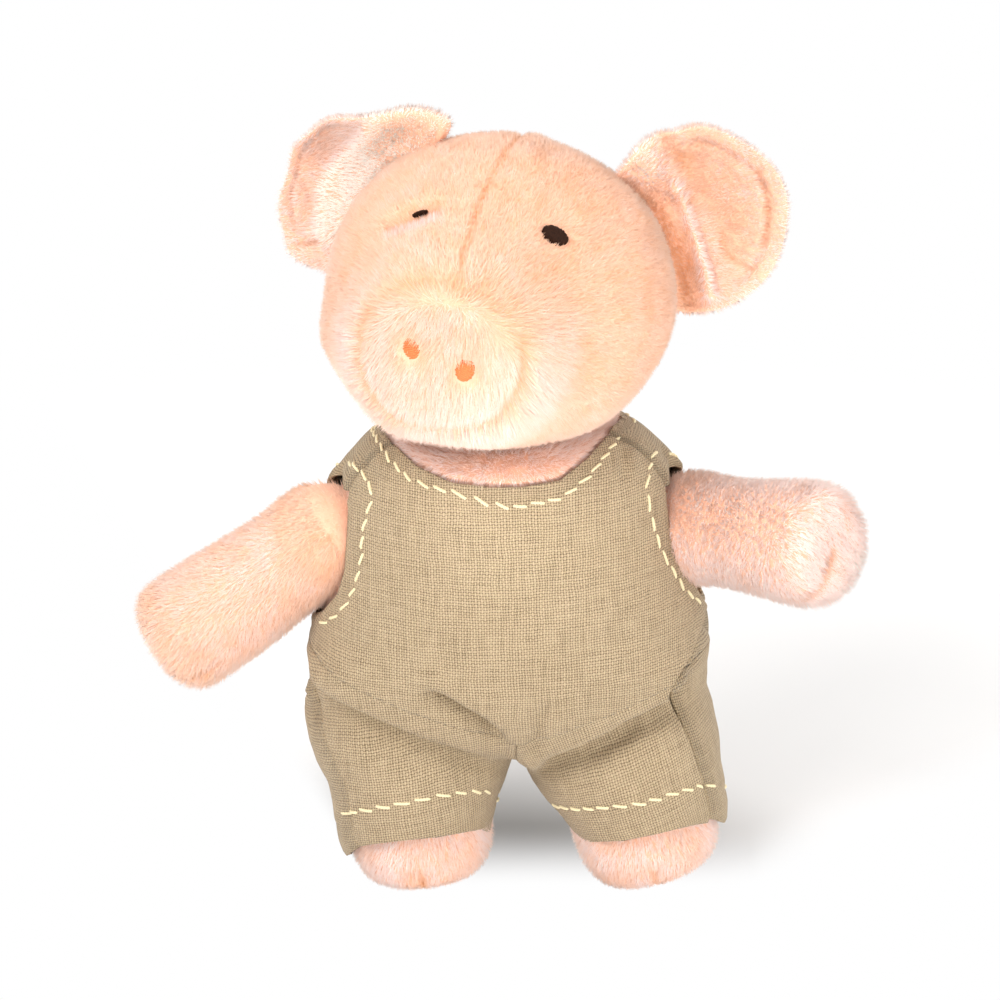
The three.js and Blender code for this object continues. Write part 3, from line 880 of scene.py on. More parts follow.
def head_at(ways, margin):
    """Points of the head's surface, in its own axes, along unit ways from its centre."""
    skull = 1 / np.linalg.norm(ways / HEAD_HALF, axis=1)
    facing = np.clip(ways @ MUZZLE_AIM, 0, 1)
    aside = np.sqrt(1 - facing ** 2)
    power = MUZZLE_SQUARENESS
    muzzle = ((facing / MUZZLE_REACH) ** power + (aside / MUZZLE_RADIUS) ** power) ** (-1 / power)
    muzzle = np.where(ways @ MUZZLE_AIM > 0, muzzle, 0)
    nearness = np.maximum(MUZZLE_BLEND - np.abs(skull - muzzle), 0) / MUZZLE_BLEND
    reach = np.maximum(skull, muzzle) + nearness ** 2 * MUZZLE_BLEND / 4
    return ways * (reach + margin)[:, None]


def from_muzzle(local):
    """How far points lie ahead along the muzzle and out from its line, and the way out."""
    ahead = local @ MUZZLE_AIM
    out = local - ahead[:, None] * MUZZLE_AIM
    return ahead, np.linalg.norm(out, axis=1), unit(out)


# How much nearer its middle the snout disc's seam runs over the top
DISC_TOP_FLAT = 2.6
# Past this share of the muzzle's reach the snout's marks begin
SNOUT_START = 0.4


def disc_flat(way):
    return DISC_TOP_FLAT * np.clip(way[:, 2], 0, 1) ** 2


def face_way(sign):
    """The way from the head's centre to an eye."""
    spread, rise = math.radians(EYE_SPREAD[sign]), math.radians(EYE_RISE)
    flat = math.cos(rise)
    return np.array([sign * math.sin(spread) * flat, -math.cos(spread) * flat, math.sin(rise)])


# Pixels of the photograph that guide the face's seam and creases
MIDLINE = [(527, 130), (504, 156), (487, 188), (477, 210), (469, 239), (462, 258), (461, 285)]
RIGHT_EYE_CREASE = [(388, 230), (408, 221), (436, 209)]
RIGHT_LASHES = [(386, 236), (408, 228), (420, 224), (432, 219)]
RIGHT_JOWL = [(334, 345), (343, 375), (358, 402), (378, 428)]
BROW_RISE = 14
RIGHT_BROW = [(x, y - BROW_RISE) for x, y in RIGHT_EYE_CREASE]
# How wide each seam and crease is, in millimetres
SNOUT_SEAM_WIDTH, TOP_RIM_WIDTH, MIDLINE_WIDTH = 0.8, 3.0, 0.7
CREASE_WIDTH, BROW_WIDTH, LASHES_WIDTH, JOWL_WIDTH = 1.3, 2.4, 1.2, 9.0
# The swelling on the left of the midline: how far from it, and how wide
BESIDE_MIDLINE, BESIDE_WIDTH = 3.2, 2.0
# The band of long pale hair round the snout: how far out it ends, and how softly
BAND_EDGE, BAND_FADE = 27, 8
WHISKER_WAY = unit(np.array([0.9, 0, -0.35]))
WHISKER_LENGTH = 2.2

# What each mark of the face adds to the skin's height, in millimetres
FACE_RELIEF = {
    "snout_seam": -1.1, "midline": -0.6, "beside_midline": 0.45, "eye_crease": -1.4, "brow": 0.9,
    "jowl": 3.6, "lumps": 0.35, "disc_dome": 0.5,
}
EYE_HOLLOW, EYE_HOLLOW_WIDTH = 1.1, 4.0
# What each mark adds to the coat's length, to its tone and to how flat it lies
COAT_LENGTH = {"band": 2.0, "disc": 1.1, "midline": -0.3, "eye_crease": -0.3, "snout_seam": -1.1}
# The darker tone along the midline, the snout seam and the eye crease is painted shade in those grooves, and
# the darker tone at the snout's top rim is painted shade that tones down where the lamps strike it
COAT_TONE = {
    "band": 0.36, "disc": 0.22, "low_disc": 0.1, "midline": -0.35, "snout_seam": -0.6,
    "eye_crease": -0.2, "top_rim": -0.3, "mottle": 0.06, "lashes": 0.5,
}
COAT_LEAN = {"band": 0.3, "disc": 0.26}
# How far from each eye's middle the coat is cleared for its stitches
EYE_CLEAR = {1: 2.4, -1: 0.6}
NOSTRIL_CLEAR = 2.4


def snout_ring(local):
    """Which points lie towards the snout, how far out from the disc's middle each is, and the way out."""
    ahead, out, out_way = from_muzzle(local)
    return ahead > SNOUT_START * MUZZLE_REACH, out + disc_flat(out_way), out_way


def beside_midline(local, pixels, in_view):
    """How far to the side of the head's seam each point is. In view, the seam runs as photographed."""
    line = np.array(MIDLINE, float)
    seen = (pixels[:, 0] - np.interp(pixels[:, 1], line[:, 1], line[:, 0])) / PIXELS_PER_MM
    return np.where(in_view & (local[:, 1] < 0), seen, local[:, 0])


def head_marks(local, world, normals):
    """How strongly each point of the head feels each seam, crease and rim of the face."""
    near_snout, out, out_way = snout_ring(local)
    on_disc = near_snout & (out < SNOUT_SEAM_RADIUS)
    upward = np.clip(out_way[:, 2] * 2.2, 0, 1)
    pixels = project(world)
    in_view = normals @ VIEW_WAY > 0
    beside = beside_midline(local, pixels, in_view)
    past_seam = out - SNOUT_SEAM_RADIUS
    above_snout = np.clip((past_seam - 1) / 4, 0, 1) * np.clip(local[:, 2] / 8 + 1, 0, 1)
    band = np.where(near_snout & ~on_disc, np.clip((BAND_EDGE - out) / BAND_FADE, 0, 1), 0)

    def seen_crease(path, width):
        return np.where(in_view, bump(near_path(pixels, path)[0], width), 0)

    return {
        "disc": on_disc,
        "low_disc": on_disc * np.clip(-local[:, 2] / 12, 0, 1),
        "disc_dome": np.where(on_disc, 1 - (out / SNOUT_SEAM_RADIUS) ** 2, 0),
        "snout_seam": np.where(near_snout, bump(past_seam, SNOUT_SEAM_WIDTH), 0) * (1 - 0.85 * upward),
        "top_rim": np.where(near_snout, bump(past_seam, TOP_RIM_WIDTH), 0) * upward,
        "band": band * (1 - 0.55 * np.clip(out_way[:, 2] * 1.5, 0, 1)),
        "whisker_side": np.clip(out_way @ WHISKER_WAY * 1.6 - 0.5, 0, 1),
        "midline": np.where(on_disc, 0, bump(beside, MIDLINE_WIDTH)) * above_snout,
        "beside_midline": np.where(on_disc, 0, bump(beside - BESIDE_MIDLINE, BESIDE_WIDTH)) * above_snout,
        "midline_side": np.sign(beside),
        "eye_crease": seen_crease(RIGHT_EYE_CREASE, CREASE_WIDTH),
        "brow": seen_crease(RIGHT_BROW, BROW_WIDTH),
        "lashes": seen_crease(RIGHT_LASHES, LASHES_WIDTH),
        "jowl": bump(near_path(pixels, RIGHT_JOWL)[0], JOWL_WIDTH),
        "lumps": noise(local, 13.0, 5),
        "mottle": noise(local, 18.0, 9),
        "out_way": out_way,
    }


def summed(marks, base, shares):
    """A base value with its share of each named mark added."""
    total = base
    for name, share in shares.items():
        total = total + share * marks[name]
    return total


def eye_spot(sign):
    return head_at(face_way(sign)[None], 0)[0]


def away_from(points, spot):
    return np.linalg.norm(points - spot, axis=1)


def build_head_skins(local, world, faces, normals):
    """The two side panels and the snout disc, each from its own faces of the head's surface."""
    middle = local[faces].mean(1)
    near_snout, out, _ = snout_ring(middle)
    disc = near_snout & (out < SNOUT_SEAM_RADIUS)
    groups = {
        "snout_disc_skin": (disc, ["snout_disc"]),
        "head_skin_left": (~disc & (middle[:, 0] >= 0), ["head_panel_left", "head_stuffing"]),
        "head_skin_right": (~disc & (middle[:, 0] < 0), ["head_panel_right"]),
    }
    for name, (chosen, nodes) in groups.items():
        used, index = np.unique(faces[chosen], return_inverse=True)
        own = index.reshape(-1, 4)
        piece = plush_skin(name, world[used], own, nodes, normals[used])
        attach(piece, "head")


def head_comb(marks):
    """The way that the coat is combed: out from the snout, down the disc, and apart at the midline."""
    out_way, on_disc = marks["out_way"], marks["disc"]
    whiskers = (marks["band"] * marks["whisker_side"])[:, None]
    comb = np.where(on_disc[:, None], np.array([0, 0, -1.0]) + 0.3 * out_way, out_way)
    comb = comb + marks["midline"][:, None] * marks["midline_side"][:, None] * np.array([[1.0, 0, 0]])
    comb = comb + whiskers * np.array([0, 0, -0.6])
    comb = comb + (marks["top_rim"] * on_disc)[:, None] * out_way * 1.8
    comb = comb @ HEAD_AXES.T
    lashes = marks["lashes"][:, None]
    return comb * (1 - lashes) + lashes * HEAD_AXES[:, 2] * 2.0


def head_coat(local, marks):
    """The coat's density, length and tone, thin and short round the stitches of the face."""
    length = summed(marks, 1.5, COAT_LENGTH)
    length = np.maximum(length + WHISKER_LENGTH * marks["band"] * marks["whisker_side"], 1.0)
    length = length + 0.7 * marks["lashes"]
    tone = summed(marks, 0.46, COAT_TONE)
    density = np.full(len(local), FULL_PILE)
    for sign in SIDES.values():
        away = away_from(local, eye_spot(sign))
        density = np.where(away < EYE_CLEAR[sign], 0.2, density)
        round_eye = (away < EYE_CLEAR[sign] + 1.6) & (marks["lashes"] < 0.3)
        length = np.where(round_eye, 1.2, length)
    for sign in SIDES.values():
        away = away_from(local, nostril_spot(sign))
        density = np.where(away < NOSTRIL_CLEAR, 0.6, density)
        length = np.where(away < NOSTRIL_CLEAR + 1.4, 1.6, length)
        tone = tone - 0.6 * bump(away, 3.2)
    return density, length, tone


def build_head():
    ways, faces = ball_grid(330, 210)
    ways = np.stack([ways[:, 0], -ways[:, 2], ways[:, 1]], axis=1)
    local = head_at(ways, -PILE_DEPTH)
    world = placed("head", local)
    normals = grid_normals(world, faces)
    marks = head_marks(local, world, normals)
    lift = summed(marks, 0.0, FACE_RELIEF)
    for sign in SIDES.values():
        lift -= EYE_HOLLOW * bump(away_from(local, eye_spot(sign)), EYE_HOLLOW_WIDTH)
    world = world + normals * lift[:, None]
    normals = grid_normals(world, faces)
    build_head_skins(local, world, faces, normals)
    density, length, tone = head_coat(local, marks)
    lean = summed(marks, 0.36, COAT_LEAN)
    pile = grow_pile("head_pile", (world, faces, normals), density, length, head_comb(marks), tone, lean, 3)
    for piece in pile:
        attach(piece, "head")


def nostril_spot(sign):
    from_middle = np.array([sign * NOSTRIL_HALF_SPACING, -MUZZLE_REACH, NOSTRIL_RISE])
    target = MUZZLE_AXES @ turned("Y", NOSTRIL_TILT) @ from_middle
    return head_at(unit(target)[None], -PILE_DEPTH)[0]


# Threads

# How many sides a thread has, how fast its two plies wind, and how deep the groove between them is
SATIN = (7, 0.6, 0.22)
TOP_STITCH = (12, 3.4, 0.42)


def thread_tubes(paths, radius, shape):
    """Twisted threads along paths: points and faces in one mesh."""
    sides, twist, groove = shape
    verts, faces, count = [], [], 0
    angle = np.linspace(0, 2 * math.pi, sides, endpoint=False)
    step = np.arange(sides)
    nxt = (step + 1) % sides
    for path in paths:
        line = unit(np.gradient(path, axis=0))
        lean = np.array([0, 0, 1.0]) if abs(line[0, 2]) < 0.8 else np.array([1.0, 0, 0])
        side = unit(np.cross(line, lean))
        other = np.cross(line, side)
        gone = np.concatenate([[0], np.cumsum(np.linalg.norm(np.diff(path, axis=0), axis=1))])
        taper = np.sqrt(np.clip(np.minimum(gone, gone[-1] - gone) / (1.2 * radius) + 0.15, 0, 1))
        wound = angle[None] - (twist * gone / radius / 2)[:, None]
        reach = radius * taper[:, None] * (1 - groove + groove * np.abs(np.cos(wound)))
        out = np.cos(angle)[None, :, None] * side[:, None] + np.sin(angle)[None, :, None] * other[:, None]
        ring = path[:, None] + reach[..., None] * out
        verts.append(ring.reshape(-1, 3))
        row = np.arange(len(path) - 1)[:, None] * sides + count
        quads = [row + step, row + nxt, row + sides + nxt, row + sides + step]
        faces.append(np.stack(quads, axis=-1).reshape(-1, 4))
        count += len(path) * sides
    return np.vstack(verts), np.vstack(faces)


def add_threads(name, paths, radius, material, shape):
    points, faces = thread_tubes(paths, radius, shape)
    piece = add_mesh(name, points, faces, [material])
    return piece


def satin_patch(centre, outward, across, half_long, half_wide, threads, rise, seed):
    """Side-by-side stitches that fill an oval, each a low arch. across is the way the oval runs."""
    outward = unit(outward)
    along = unit(across - (across @ outward) * outward)
    over = np.cross(outward, along)
    chance = np.random.default_rng(seed)
    paths = []
    for k in range(threads):
        share = (k + 0.5) / threads * 2 - 1
        half = half_wide * math.sqrt(max(1 - share ** 2, 0.05)) * (0.92 + 0.16 * chance.random())
        t = np.linspace(-1, 1, 9)
        lift = rise * np.sqrt(np.clip(1 - t ** 2, 0, 1)) * math.sqrt(max(1 - 0.7 * share ** 2, 0.1))
        slant = 0.12 * half_long * (chance.random() - 0.5)
        path = (
            centre
            + (share * half_long + slant * t)[:, None] * along
            + (half * t)[:, None] * over
            + (lift - 0.3)[:, None] * outward
        )
        paths.append(path)
    return paths


# Each eye's oval of stitches: half its length and width, how many threads, how high they rise, and its slope
EYE_STITCHES = {1: (2.9, 2.1, 18, 1.75), -1: (1.7, 0.35, 8, 1.1)}
EYE_SLOPE = {1: -0.28, -1: 0.45}
EYE_THREAD_RADIUS = 0.3
NOSTRIL_STITCHES = (2.5, 2.3, 11, 1.3)
NOSTRIL_SLOPE = 0.35
NOSTRIL_THREAD_RADIUS = 0.34


def build_eye(side, sign):
    seat = head_at(face_way(sign)[None], -PILE_DEPTH)[0]
    outward = HEAD_AXES @ unit(seat / HEAD_HALF ** 2)
    centre = placed("head", seat[None])[0] - outward * 0.6
    slope = HEAD_AXES @ np.array([1.0, 0, EYE_SLOPE[sign]])
    paths = satin_patch(centre, outward, slope, *EYE_STITCHES[sign], 31 + sign)
    eye = add_threads(f"eye_{side}_stitches", paths, EYE_THREAD_RADIUS, EYE_THREAD, SATIN)
    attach(eye, "head")
    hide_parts(f"eye_{side}")


def build_nostril(side, sign):
    outward = HEAD_AXES @ MUZZLE_AIM
    centre = placed("head", nostril_spot(sign)[None])[0]
    slope = HEAD_AXES @ np.array([NOSTRIL_SLOPE * sign, 0, 1.0])
    paths = satin_patch(centre, outward, slope, *NOSTRIL_STITCHES, 41 + sign)
    name = f"nostril_{side}_stitches"
    nostril = add_threads(name, paths, NOSTRIL_THREAD_RADIUS, NOSTRIL_THREAD, SATIN)
    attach(nostril, "head")
    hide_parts(f"nostril_{side}")


def build_face():
    for side, sign in SIDES.items():
        build_eye(side, sign)
        build_nostril(side, sign)


# Ears

EAR_HALF_HEIGHT = 22.0
EAR_HALF_WIDTH = 20.5
EAR_THICKNESS = 6.4
EAR_CUP = 6.5
EAR_CENTRE_OUT = 10.5
EAR_CENTRE_DROP = 2.5
EAR_ROOT_TOP = np.array([20, 11.8, 28.9])
EAR_ROOT_BOTTOM = np.array([35.5, 14.3, 1.1])
EAR_LEAN = np.array([0.9, 0.34, 0.2])
EAR_DROOP = {1: 0.0, -1: 14.0}
EAR_NOD = {1: 0.0, -1: 12.0}
# Pixels of the photograph that guide each ear's folds: a line, its half width, its height and its tone. The
# tone is painted light on the ridges and lobes and painted shade in the grooves and creases
EAR_FOLDS = {
    1: [
        ([(676, 190), (684, 205), (695, 238), (704, 268), (709, 292)], 1.3, 1.6, 0.4),
        ([(688, 203), (699, 236), (709, 266), (714, 290)], 0.8, -0.8, -0.3),
        (
            [(618, 184), (640, 204), (656, 222), (669, 241), (678, 260), (683, 280), (688, 302)],
            3.0, -1.8, -0.85,
        ),
        ([(662, 134), (672, 152), (683, 168)], 1.8, -0.5, -0.4),
        ([(692, 135), (694, 160), (694, 190)], 4.2, -0.5, -0.25),
        ([(634, 160), (650, 170)], 4.0, 1.2, 0.35),
        ([(757, 172), (766, 198), (765, 226), (762, 245)], 0.7, -0.4, -0.4),
        ([(719, 233), (722, 250), (734, 262), (752, 269)], 0.8, -0.45, -0.35),
        ([(735, 225), (740, 245)], 3.0, 0.0, -0.15),
    ],
    -1: [
        (
            [(404, 114), (387, 124), (373, 137), (351, 157), (339, 174), (331, 191), (328, 210), (328, 230)],
            2.6, 0.9, 0.6,
        ),
        ([(404, 151), (384, 158), (367, 174), (356, 188), (349, 206), (344, 223)], 3.4, 0.9, 0.7),
        ([(362, 121), (351, 148), (335, 160)], 2.6, -0.3, -0.05),
        ([(314, 200), (313, 222)], 1.6, -0.4, -0.2),
        ([(402, 124), (425, 121), (442, 126)], 5.5, 1.6, 0.6),
        ([(300, 246), (317, 242)], 0.8, -0.8, -0.4),
    ],
}
# Places on the photograph towards which each ear's outline is drawn: pixel, shift and reach, all in pixels
EAR_NUDGES = {
    1: [(790, 190, 9, -1, 45), (690, 128, 0, -8, 35)],
    -1: [
        (424, 132, 37, -14, 30), (402, 112, 0, -5, 16), (358, 112, 0, 5, 24),
        (272, 165, 13, 0, 32), (300, 130, 5, 4, 22), (298, 254, -9, 3, 20),
    ],
}
# Where the outline swells or shrinks: its bearing from straight out towards the top, its spread and its share
EAR_OUTLINE = {
    1: [(20, 30, 0.06), (-50, 25, 0.05), (100, 20, 0.05), (75, 14, -0.05)],
    -1: [(50, 40, -0.2), (0, 40, -0.07), (122, 22, 0.34)],
}
# The dip in front of the root: its depth, how far out it lies, and its width out and up
EAR_DIP, EAR_DIP_OUT, EAR_DIP_WIDTHS = 1.2, 15, (7.0, 14)
# The seam inside the rim: its share of the way out, its depth and its width
EAR_SEAM_RIM, EAR_SEAM_DEPTH, EAR_SEAM_WIDTH = 0.82, 0.5, 0.9
# How strongly the ear's fibres are drawn to the middle of their tuft
EAR_PULL = 0.25


def ear_place(sign):
    """An ear's root and axes: out, back and up along the root."""
    mirror = np.array([sign, 1, 1])
    top, bottom = EAR_ROOT_TOP * mirror, EAR_ROOT_BOTTOM * mirror
    up = unit(top - bottom)
    outward = EAR_LEAN * mirror
    outward = unit(outward - (outward @ up) * up)
    axes = np.stack([outward, np.cross(up, outward), up], axis=1)
    axes = axes @ turned("Y", EAR_DROOP[sign]) @ turned("X", sign * EAR_NOD[sign])
    return HEAD_CENTRE + HEAD_AXES @ ((top + bottom) / 2), HEAD_AXES @ axes


def nudged(points, nudges):
    """Points moved across the camera's view, each nudge fading away from its pixel."""
    right = np.array([1.0, 0, 0])
    up = np.cross(right, -VIEW_WAY)
    pixels = project(points)
    moved = points.copy()
    for x, y, over, down, reach in nudges:
        share = bump(np.hypot(pixels[:, 0] - x, pixels[:, 1] - y), reach)
        moved += share[:, None] * (over * right - down * up) / PIXELS_PER_MM
    return moved


def outward_faces(points, faces):
    """The faces of a closed mesh, turned to look outward."""
    a, b, c = (points[faces[:, k]] for k in range(3))
    volume = (a * np.cross(b, c)).sum()
    return faces if volume > 0 else faces[:, ::-1]


def ear_form(sign, ways):
    """An ear's points in its own axes, how far out each lies, how near the rim, and the seam's depth."""
    rim = np.minimum(np.hypot(ways[:, 0], ways[:, 1]), 1)
    thick = EAR_THICKNESS / 2 - PILE_DEPTH * 0.75
    dome = np.sign(ways[:, 2]) * np.power(np.clip(1 - rim ** 4, 0, 1), 0.25)
    swell = np.ones(len(ways))
    bearing = np.degrees(np.arctan2(ways[:, 1], ways[:, 0]))
    for middle, width, share in EAR_OUTLINE[sign]:
        off = (bearing - middle + 180) % 360 - 180
        swell += share * bump(off, width) * rim ** 2
    out = EAR_CENTRE_OUT + ways[:, 0] * swell * (EAR_HALF_WIDTH - PILE_DEPTH)
    up = ways[:, 1] * swell * (EAR_HALF_HEIGHT - PILE_DEPTH) - EAR_CENTRE_DROP
    cup = EAR_CUP * rim ** 2
    dip = -EAR_DIP * bump(out - EAR_DIP_OUT, EAR_DIP_WIDTHS[0]) * bump(up, EAR_DIP_WIDTHS[1])
    seam_line = bump((rim - EAR_SEAM_RIM) * EAR_HALF_WIDTH, EAR_SEAM_WIDTH) * np.clip(ways[:, 0] * 3, 0, 1)
    seam = np.where(ways[:, 2] > 0, -EAR_SEAM_DEPTH * seam_line, 0)
    forward = cup + dip + dome * thick + seam
    local = np.stack([out, -sign * forward, up], axis=1)
    return local + 0.35 * noise_way(local, 9.0, 50 + sign), out, rim, seam


def ear_folds(sign, world):
    """How high the ear's folds lift each point, and the painted light and shade they add to its tone."""
    pixels = project(world)
    height, tone = np.zeros(len(world)), np.zeros(len(world))
    for path, width, rise, painted_light_shade in EAR_FOLDS[sign]:
        away, _ = near_path(pixels, path)
        height += rise * bump(away, width)
        tone += painted_light_shade * bump(away, width * 1.1)
    return height, tone


def build_ear(side):
    sign = SIDES[side]
    origin, axes = ear_place(sign)
    ways, faces = ball_grid(200, 120)
    local, out, rim, seam = ear_form(sign, ways)
    world = nudged(local @ axes.T + origin, EAR_NUDGES[sign])
    height, tone = ear_folds(sign, world)
    world = world - axes[:, 1] * sign * height[:, None]
    faces = outward_faces(world - origin, faces)
    normals = grid_normals(world, faces)
    skin = plush_skin(f"ear_{side}_skin", world, faces, [f"ear_{side}_front", f"ear_{side}_back"])
    comb = np.stack([ways[:, 0] + 0.35, np.zeros(len(ways)), ways[:, 1] * 0.8], axis=1) @ axes.T
    # Painted light and shade: the folds' tone and the paler tone towards the rim; the seam line inside the
    # rim is painted darker as shade in its groove
    shade = np.where(ways[:, 2] > 0, 0.68 + 0.3 * rim ** 3 + tone, 0.85) + 0.25 * seam
    density = np.where(out < -4, 2.0, FULL_PILE)
    length = 1.9 - 0.7 * rim ** 6
    surface = (world, faces, normals)
    pile = grow_pile(f"ear_{side}_pile", surface, density, length, comb, shade, 0.45, 60 + sign, EAR_PULL)
    for piece in [skin, *pile]:
        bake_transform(piece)


# Body and limbs

# Heights in the body's own axes. Under the first the overalls cover it. Over the second its neck is bare,
# and over the third its pile shows at the armholes
COVERED_BELOW = 64
BARE_ABOVE = 90
ARMHOLE_PILE_ABOVE = 62
# How far to the side that pile starts
ARMHOLE_PILE_OUT = 27
# How far the skin stands out at the neck and is drawn in under the overalls
BARE_LIFT, COVERED_DROP = 1.0, 2.2


def build_body():
    points, faces, normals = turned_form(BODY_CURVE, -PILE_DEPTH, 200, 130, (BODY_DEPTH_TOP, BODY_DEPTH_FOOT))
    height = points[:, 2]
    covered = np.clip((COVERED_BELOW - height) / 8, 0, 1)
    at_neck = np.clip(0.3 - neck_gauge(placed("torso", points)), 0, 1)
    bare = at_neck * np.clip((height - BARE_ABOVE) / 4, 0, 1)
    points = points + normals * (BARE_LIFT * bare - COVERED_DROP * covered)[:, None]
    world = placed("torso", points)
    normals = grid_normals(world, faces)
    skin = plush_skin("body_skin", world, faces, ["body_cover", "body_stuffing"])
    beside = np.clip((np.abs(points[:, 0]) - ARMHOLE_PILE_OUT) / 4, 0, 1)
    side_on = beside * np.clip((points[:, 2] - ARMHOLE_PILE_ABOVE) / 4, 0, 1)
    density = FULL_PILE * np.maximum(bare, side_on)
    comb = np.stack([points[:, 0] * 0.01, points[:, 1] * 0.01, -np.ones(len(points))], axis=1) @ TORSO_AXES.T
    # Painted light: the bare neck's pile is paler to lift the shade under the chin
    shade = 0.6 + 0.3 * bare
    length = 1.8 + 0.8 * bare
    pile = grow_pile("body_pile", (world, faces, normals), density, length, comb, shade, 0.45, 80)
    for piece in [skin, *pile]:
        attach(piece, "torso")


COLLAR_RADIUS = 15.2
COLLAR_ROLL = 1.9
# How deep the collar's nine gathers are
COLLAR_GATHER = 0.25


def ring_faces(around, across):
    """Four-sided faces of a closed ring, whose rows run round its section."""
    row = (np.arange(across) * around)[:, None]
    next_row = (((np.arange(across) + 1) % across) * around)[:, None]
    step, nxt = np.arange(around), (np.arange(around) + 1) % around
    return np.stack([row + step, row + nxt, next_row + nxt, next_row + step], axis=-1).reshape(-1, 4)


def build_collar():
    """The rolled plush edge that the head is sewn to."""
    around, across = 120, 16
    phi = np.linspace(0, 2 * math.pi, around, endpoint=False)
    psi = np.linspace(0, 2 * math.pi, across, endpoint=False)
    t, p = np.meshgrid(psi, phi, indexing="ij")
    reach = COLLAR_RADIUS + COLLAR_ROLL * np.cos(t) + COLLAR_GATHER * np.sin(9 * p)
    depth = math.sqrt(NECK_CUP_RADIUS ** 2 - COLLAR_RADIUS ** 2) + 1.0
    height = COLLAR_ROLL * 0.6 * np.sin(t) - depth
    points = np.stack([reach * np.cos(p), reach * np.sin(p), height], axis=-1).reshape(-1, 3)
    world = points @ TORSO_AXES.T + HEAD_CENTRE
    faces = outward_faces(world - world.mean(0), ring_faces(around, across))
    collar = plush_skin("neck_collar_plush", world, faces, ["neck_collar"])
    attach(collar, "neck")


# How much shorter each arm is than its pattern
ARM_TRIM = {"left": 3.0, "right": 0.0}
# Each arm's tone: the same plush, painted paler on the left arm and darker on the right, as painted light and
# painted shade
ARM_PAINTED_TONE = {"left": 0.98, "right": 0.66}
# The way that the seam at the hand faces, before it is laid along the arm
HAND_SEAM_WAY = (0.0, -0.75, -0.66)
HAND_SEAM_DEPTH = 1.2


def hand_seam(axes, points):
    """How strongly each point of an arm feels the seam at its tip, and how near the tip it is."""
    near_tip = np.clip((-points[:, 2] - ARM_LENGTH + 15) / 6, 0, 1)
    faced = unit(np.array(HAND_SEAM_WAY) @ axes)
    faced = unit(faced - np.array([0, 0, faced[2]]))
    across = np.cross(np.array([0, 0, 1.0]), faced)
    seam = near_tip * bump(points @ across, 0.9) * np.clip((points @ faced) / 3 + 0.4, 0, 1)
    return seam, near_tip


def build_arm(side):
    body = f"arm_{side}"
    origin, axes = PLACES[body]
    profile = limb_profile(ARM_RADIUS, ARM_LENGTH - ARM_TRIM[side], ARM_SWELL)
    points, faces, _ = turned_form(profile, -LIMB_PILE_DEPTH, 130, 170)
    down = -points[:, 2]
    seam, near_tip = hand_seam(axes, points)
    world = placed(body, points)
    normals = grid_normals(world, faces)
    lumps = 0.45 * noise(world, 15.0, 90) + 0.2 * noise(world, 6.0, 91)
    world = world + normals * (lumps - HAND_SEAM_DEPTH * seam)[:, None]
    normals = grid_normals(world, faces)
    skin = plush_skin(f"{body}_skin", world, faces, [f"{body}_cover", f"{body}_stuffing"])
    reach = axes @ np.array([0, 0, -1.0])
    comb = np.tile(reach + np.array([0, 0, -0.35]), (len(world), 1))
    painted_root_shade = np.clip((10 - down) / 8, 0, 1)
    # Painted shade: darker at the root where the arm meets the body, and along the seam at the hand
    shade = ARM_PAINTED_TONE[side] + 0.08 * noise(world, 14.0, 95) - 0.5 * seam - 0.25 * painted_root_shade
    length = 1.9 + 0.5 * near_tip
    density = np.where(down < -4, 1.0, FULL_PILE)
    surface = (world, faces, normals)
    pile = grow_pile(f"{body}_pile", surface, density, length, comb, shade, 0.5, 100 + SIDES[side])
    for piece in [skin, *pile]:
        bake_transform(piece)


FOOT_SEAM_DEPTH = 1.0
# Fibres to the square millimetre on the feet
FOOT_PILE = 7.5
# The sole's ground cloth, and how much of its roundness is left where it is pressed flat
SOLE_HEIGHT = PILE_DEPTH * 0.8
SOLE_ROUNDNESS = 0.1


def build_leg(side):
    body = f"leg_{side}"
    profile = limb_profile(LEG_RADIUS, LEG_LENGTH, LEG_SWELL)
    points, faces, _ = turned_form(profile, -LIMB_PILE_DEPTH, 130, 130)
    world = placed(body, points)
    normals = grid_normals(world, faces)
    down = -points[:, 2]
    sole = np.clip(-normals[:, 2], 0, 1)
    seam = bump(points[:, 0], 0.8) * np.clip((down - 22) / 4, 0, 1) * np.clip(-points[:, 1] / 5, 0, 1)
    lumps = 0.4 * noise(world, 12.0, 120) - FOOT_SEAM_DEPTH * seam
    world = world + normals * (lumps * (1 - sole))[:, None]
    pressed = SOLE_HEIGHT + (world[:, 2] - SOLE_HEIGHT) * SOLE_ROUNDNESS
    world[:, 2] = np.where(world[:, 2] < SOLE_HEIGHT, pressed, world[:, 2])
    normals = grid_normals(world, faces)
    skin = plush_skin(f"{body}_skin", world, faces, [f"{body}_cover", f"{body}_stuffing"])
    comb = np.tile(np.array([0, -0.35, -1.0]), (len(world), 1)) + 0.6 * normals * np.array([1, 1, 0])
    # Painted shade: the pile is darker along the seam at the foot
    shade = 0.82 + 0.2 * noise(world, 5.0, 125) - 0.6 * seam
    density = FOOT_PILE * np.clip((down - 10) / 4, 0, 1)
    length = 2.1 - 1.3 * sole
    surface = (world, faces, normals)
    pile = grow_pile(f"{body}_pile", surface, density, length, comb, shade, 0.5, 130 + SIDES[side])
    for piece in pile:
        keep_above_ground(piece)
    for piece in [skin, *pile]:
        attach(piece, body)


def keep_above_ground(piece):
    """Fibres that would reach under the sole, stopped at it."""
    count = len(piece.data.vertices)
    co = np.zeros(count * 3, np.float32)
    piece.data.vertices.foreach_get("co", co)
    co = co.reshape(-1, 3)
    co[:, 2] = np.maximum(co[:, 2], 0.0001)
    piece.data.vertices.foreach_set("co", co.ravel())
    piece.data.update()


# Overalls

LINEN_VOXEL = 0.95 if PLAIN else 1.5
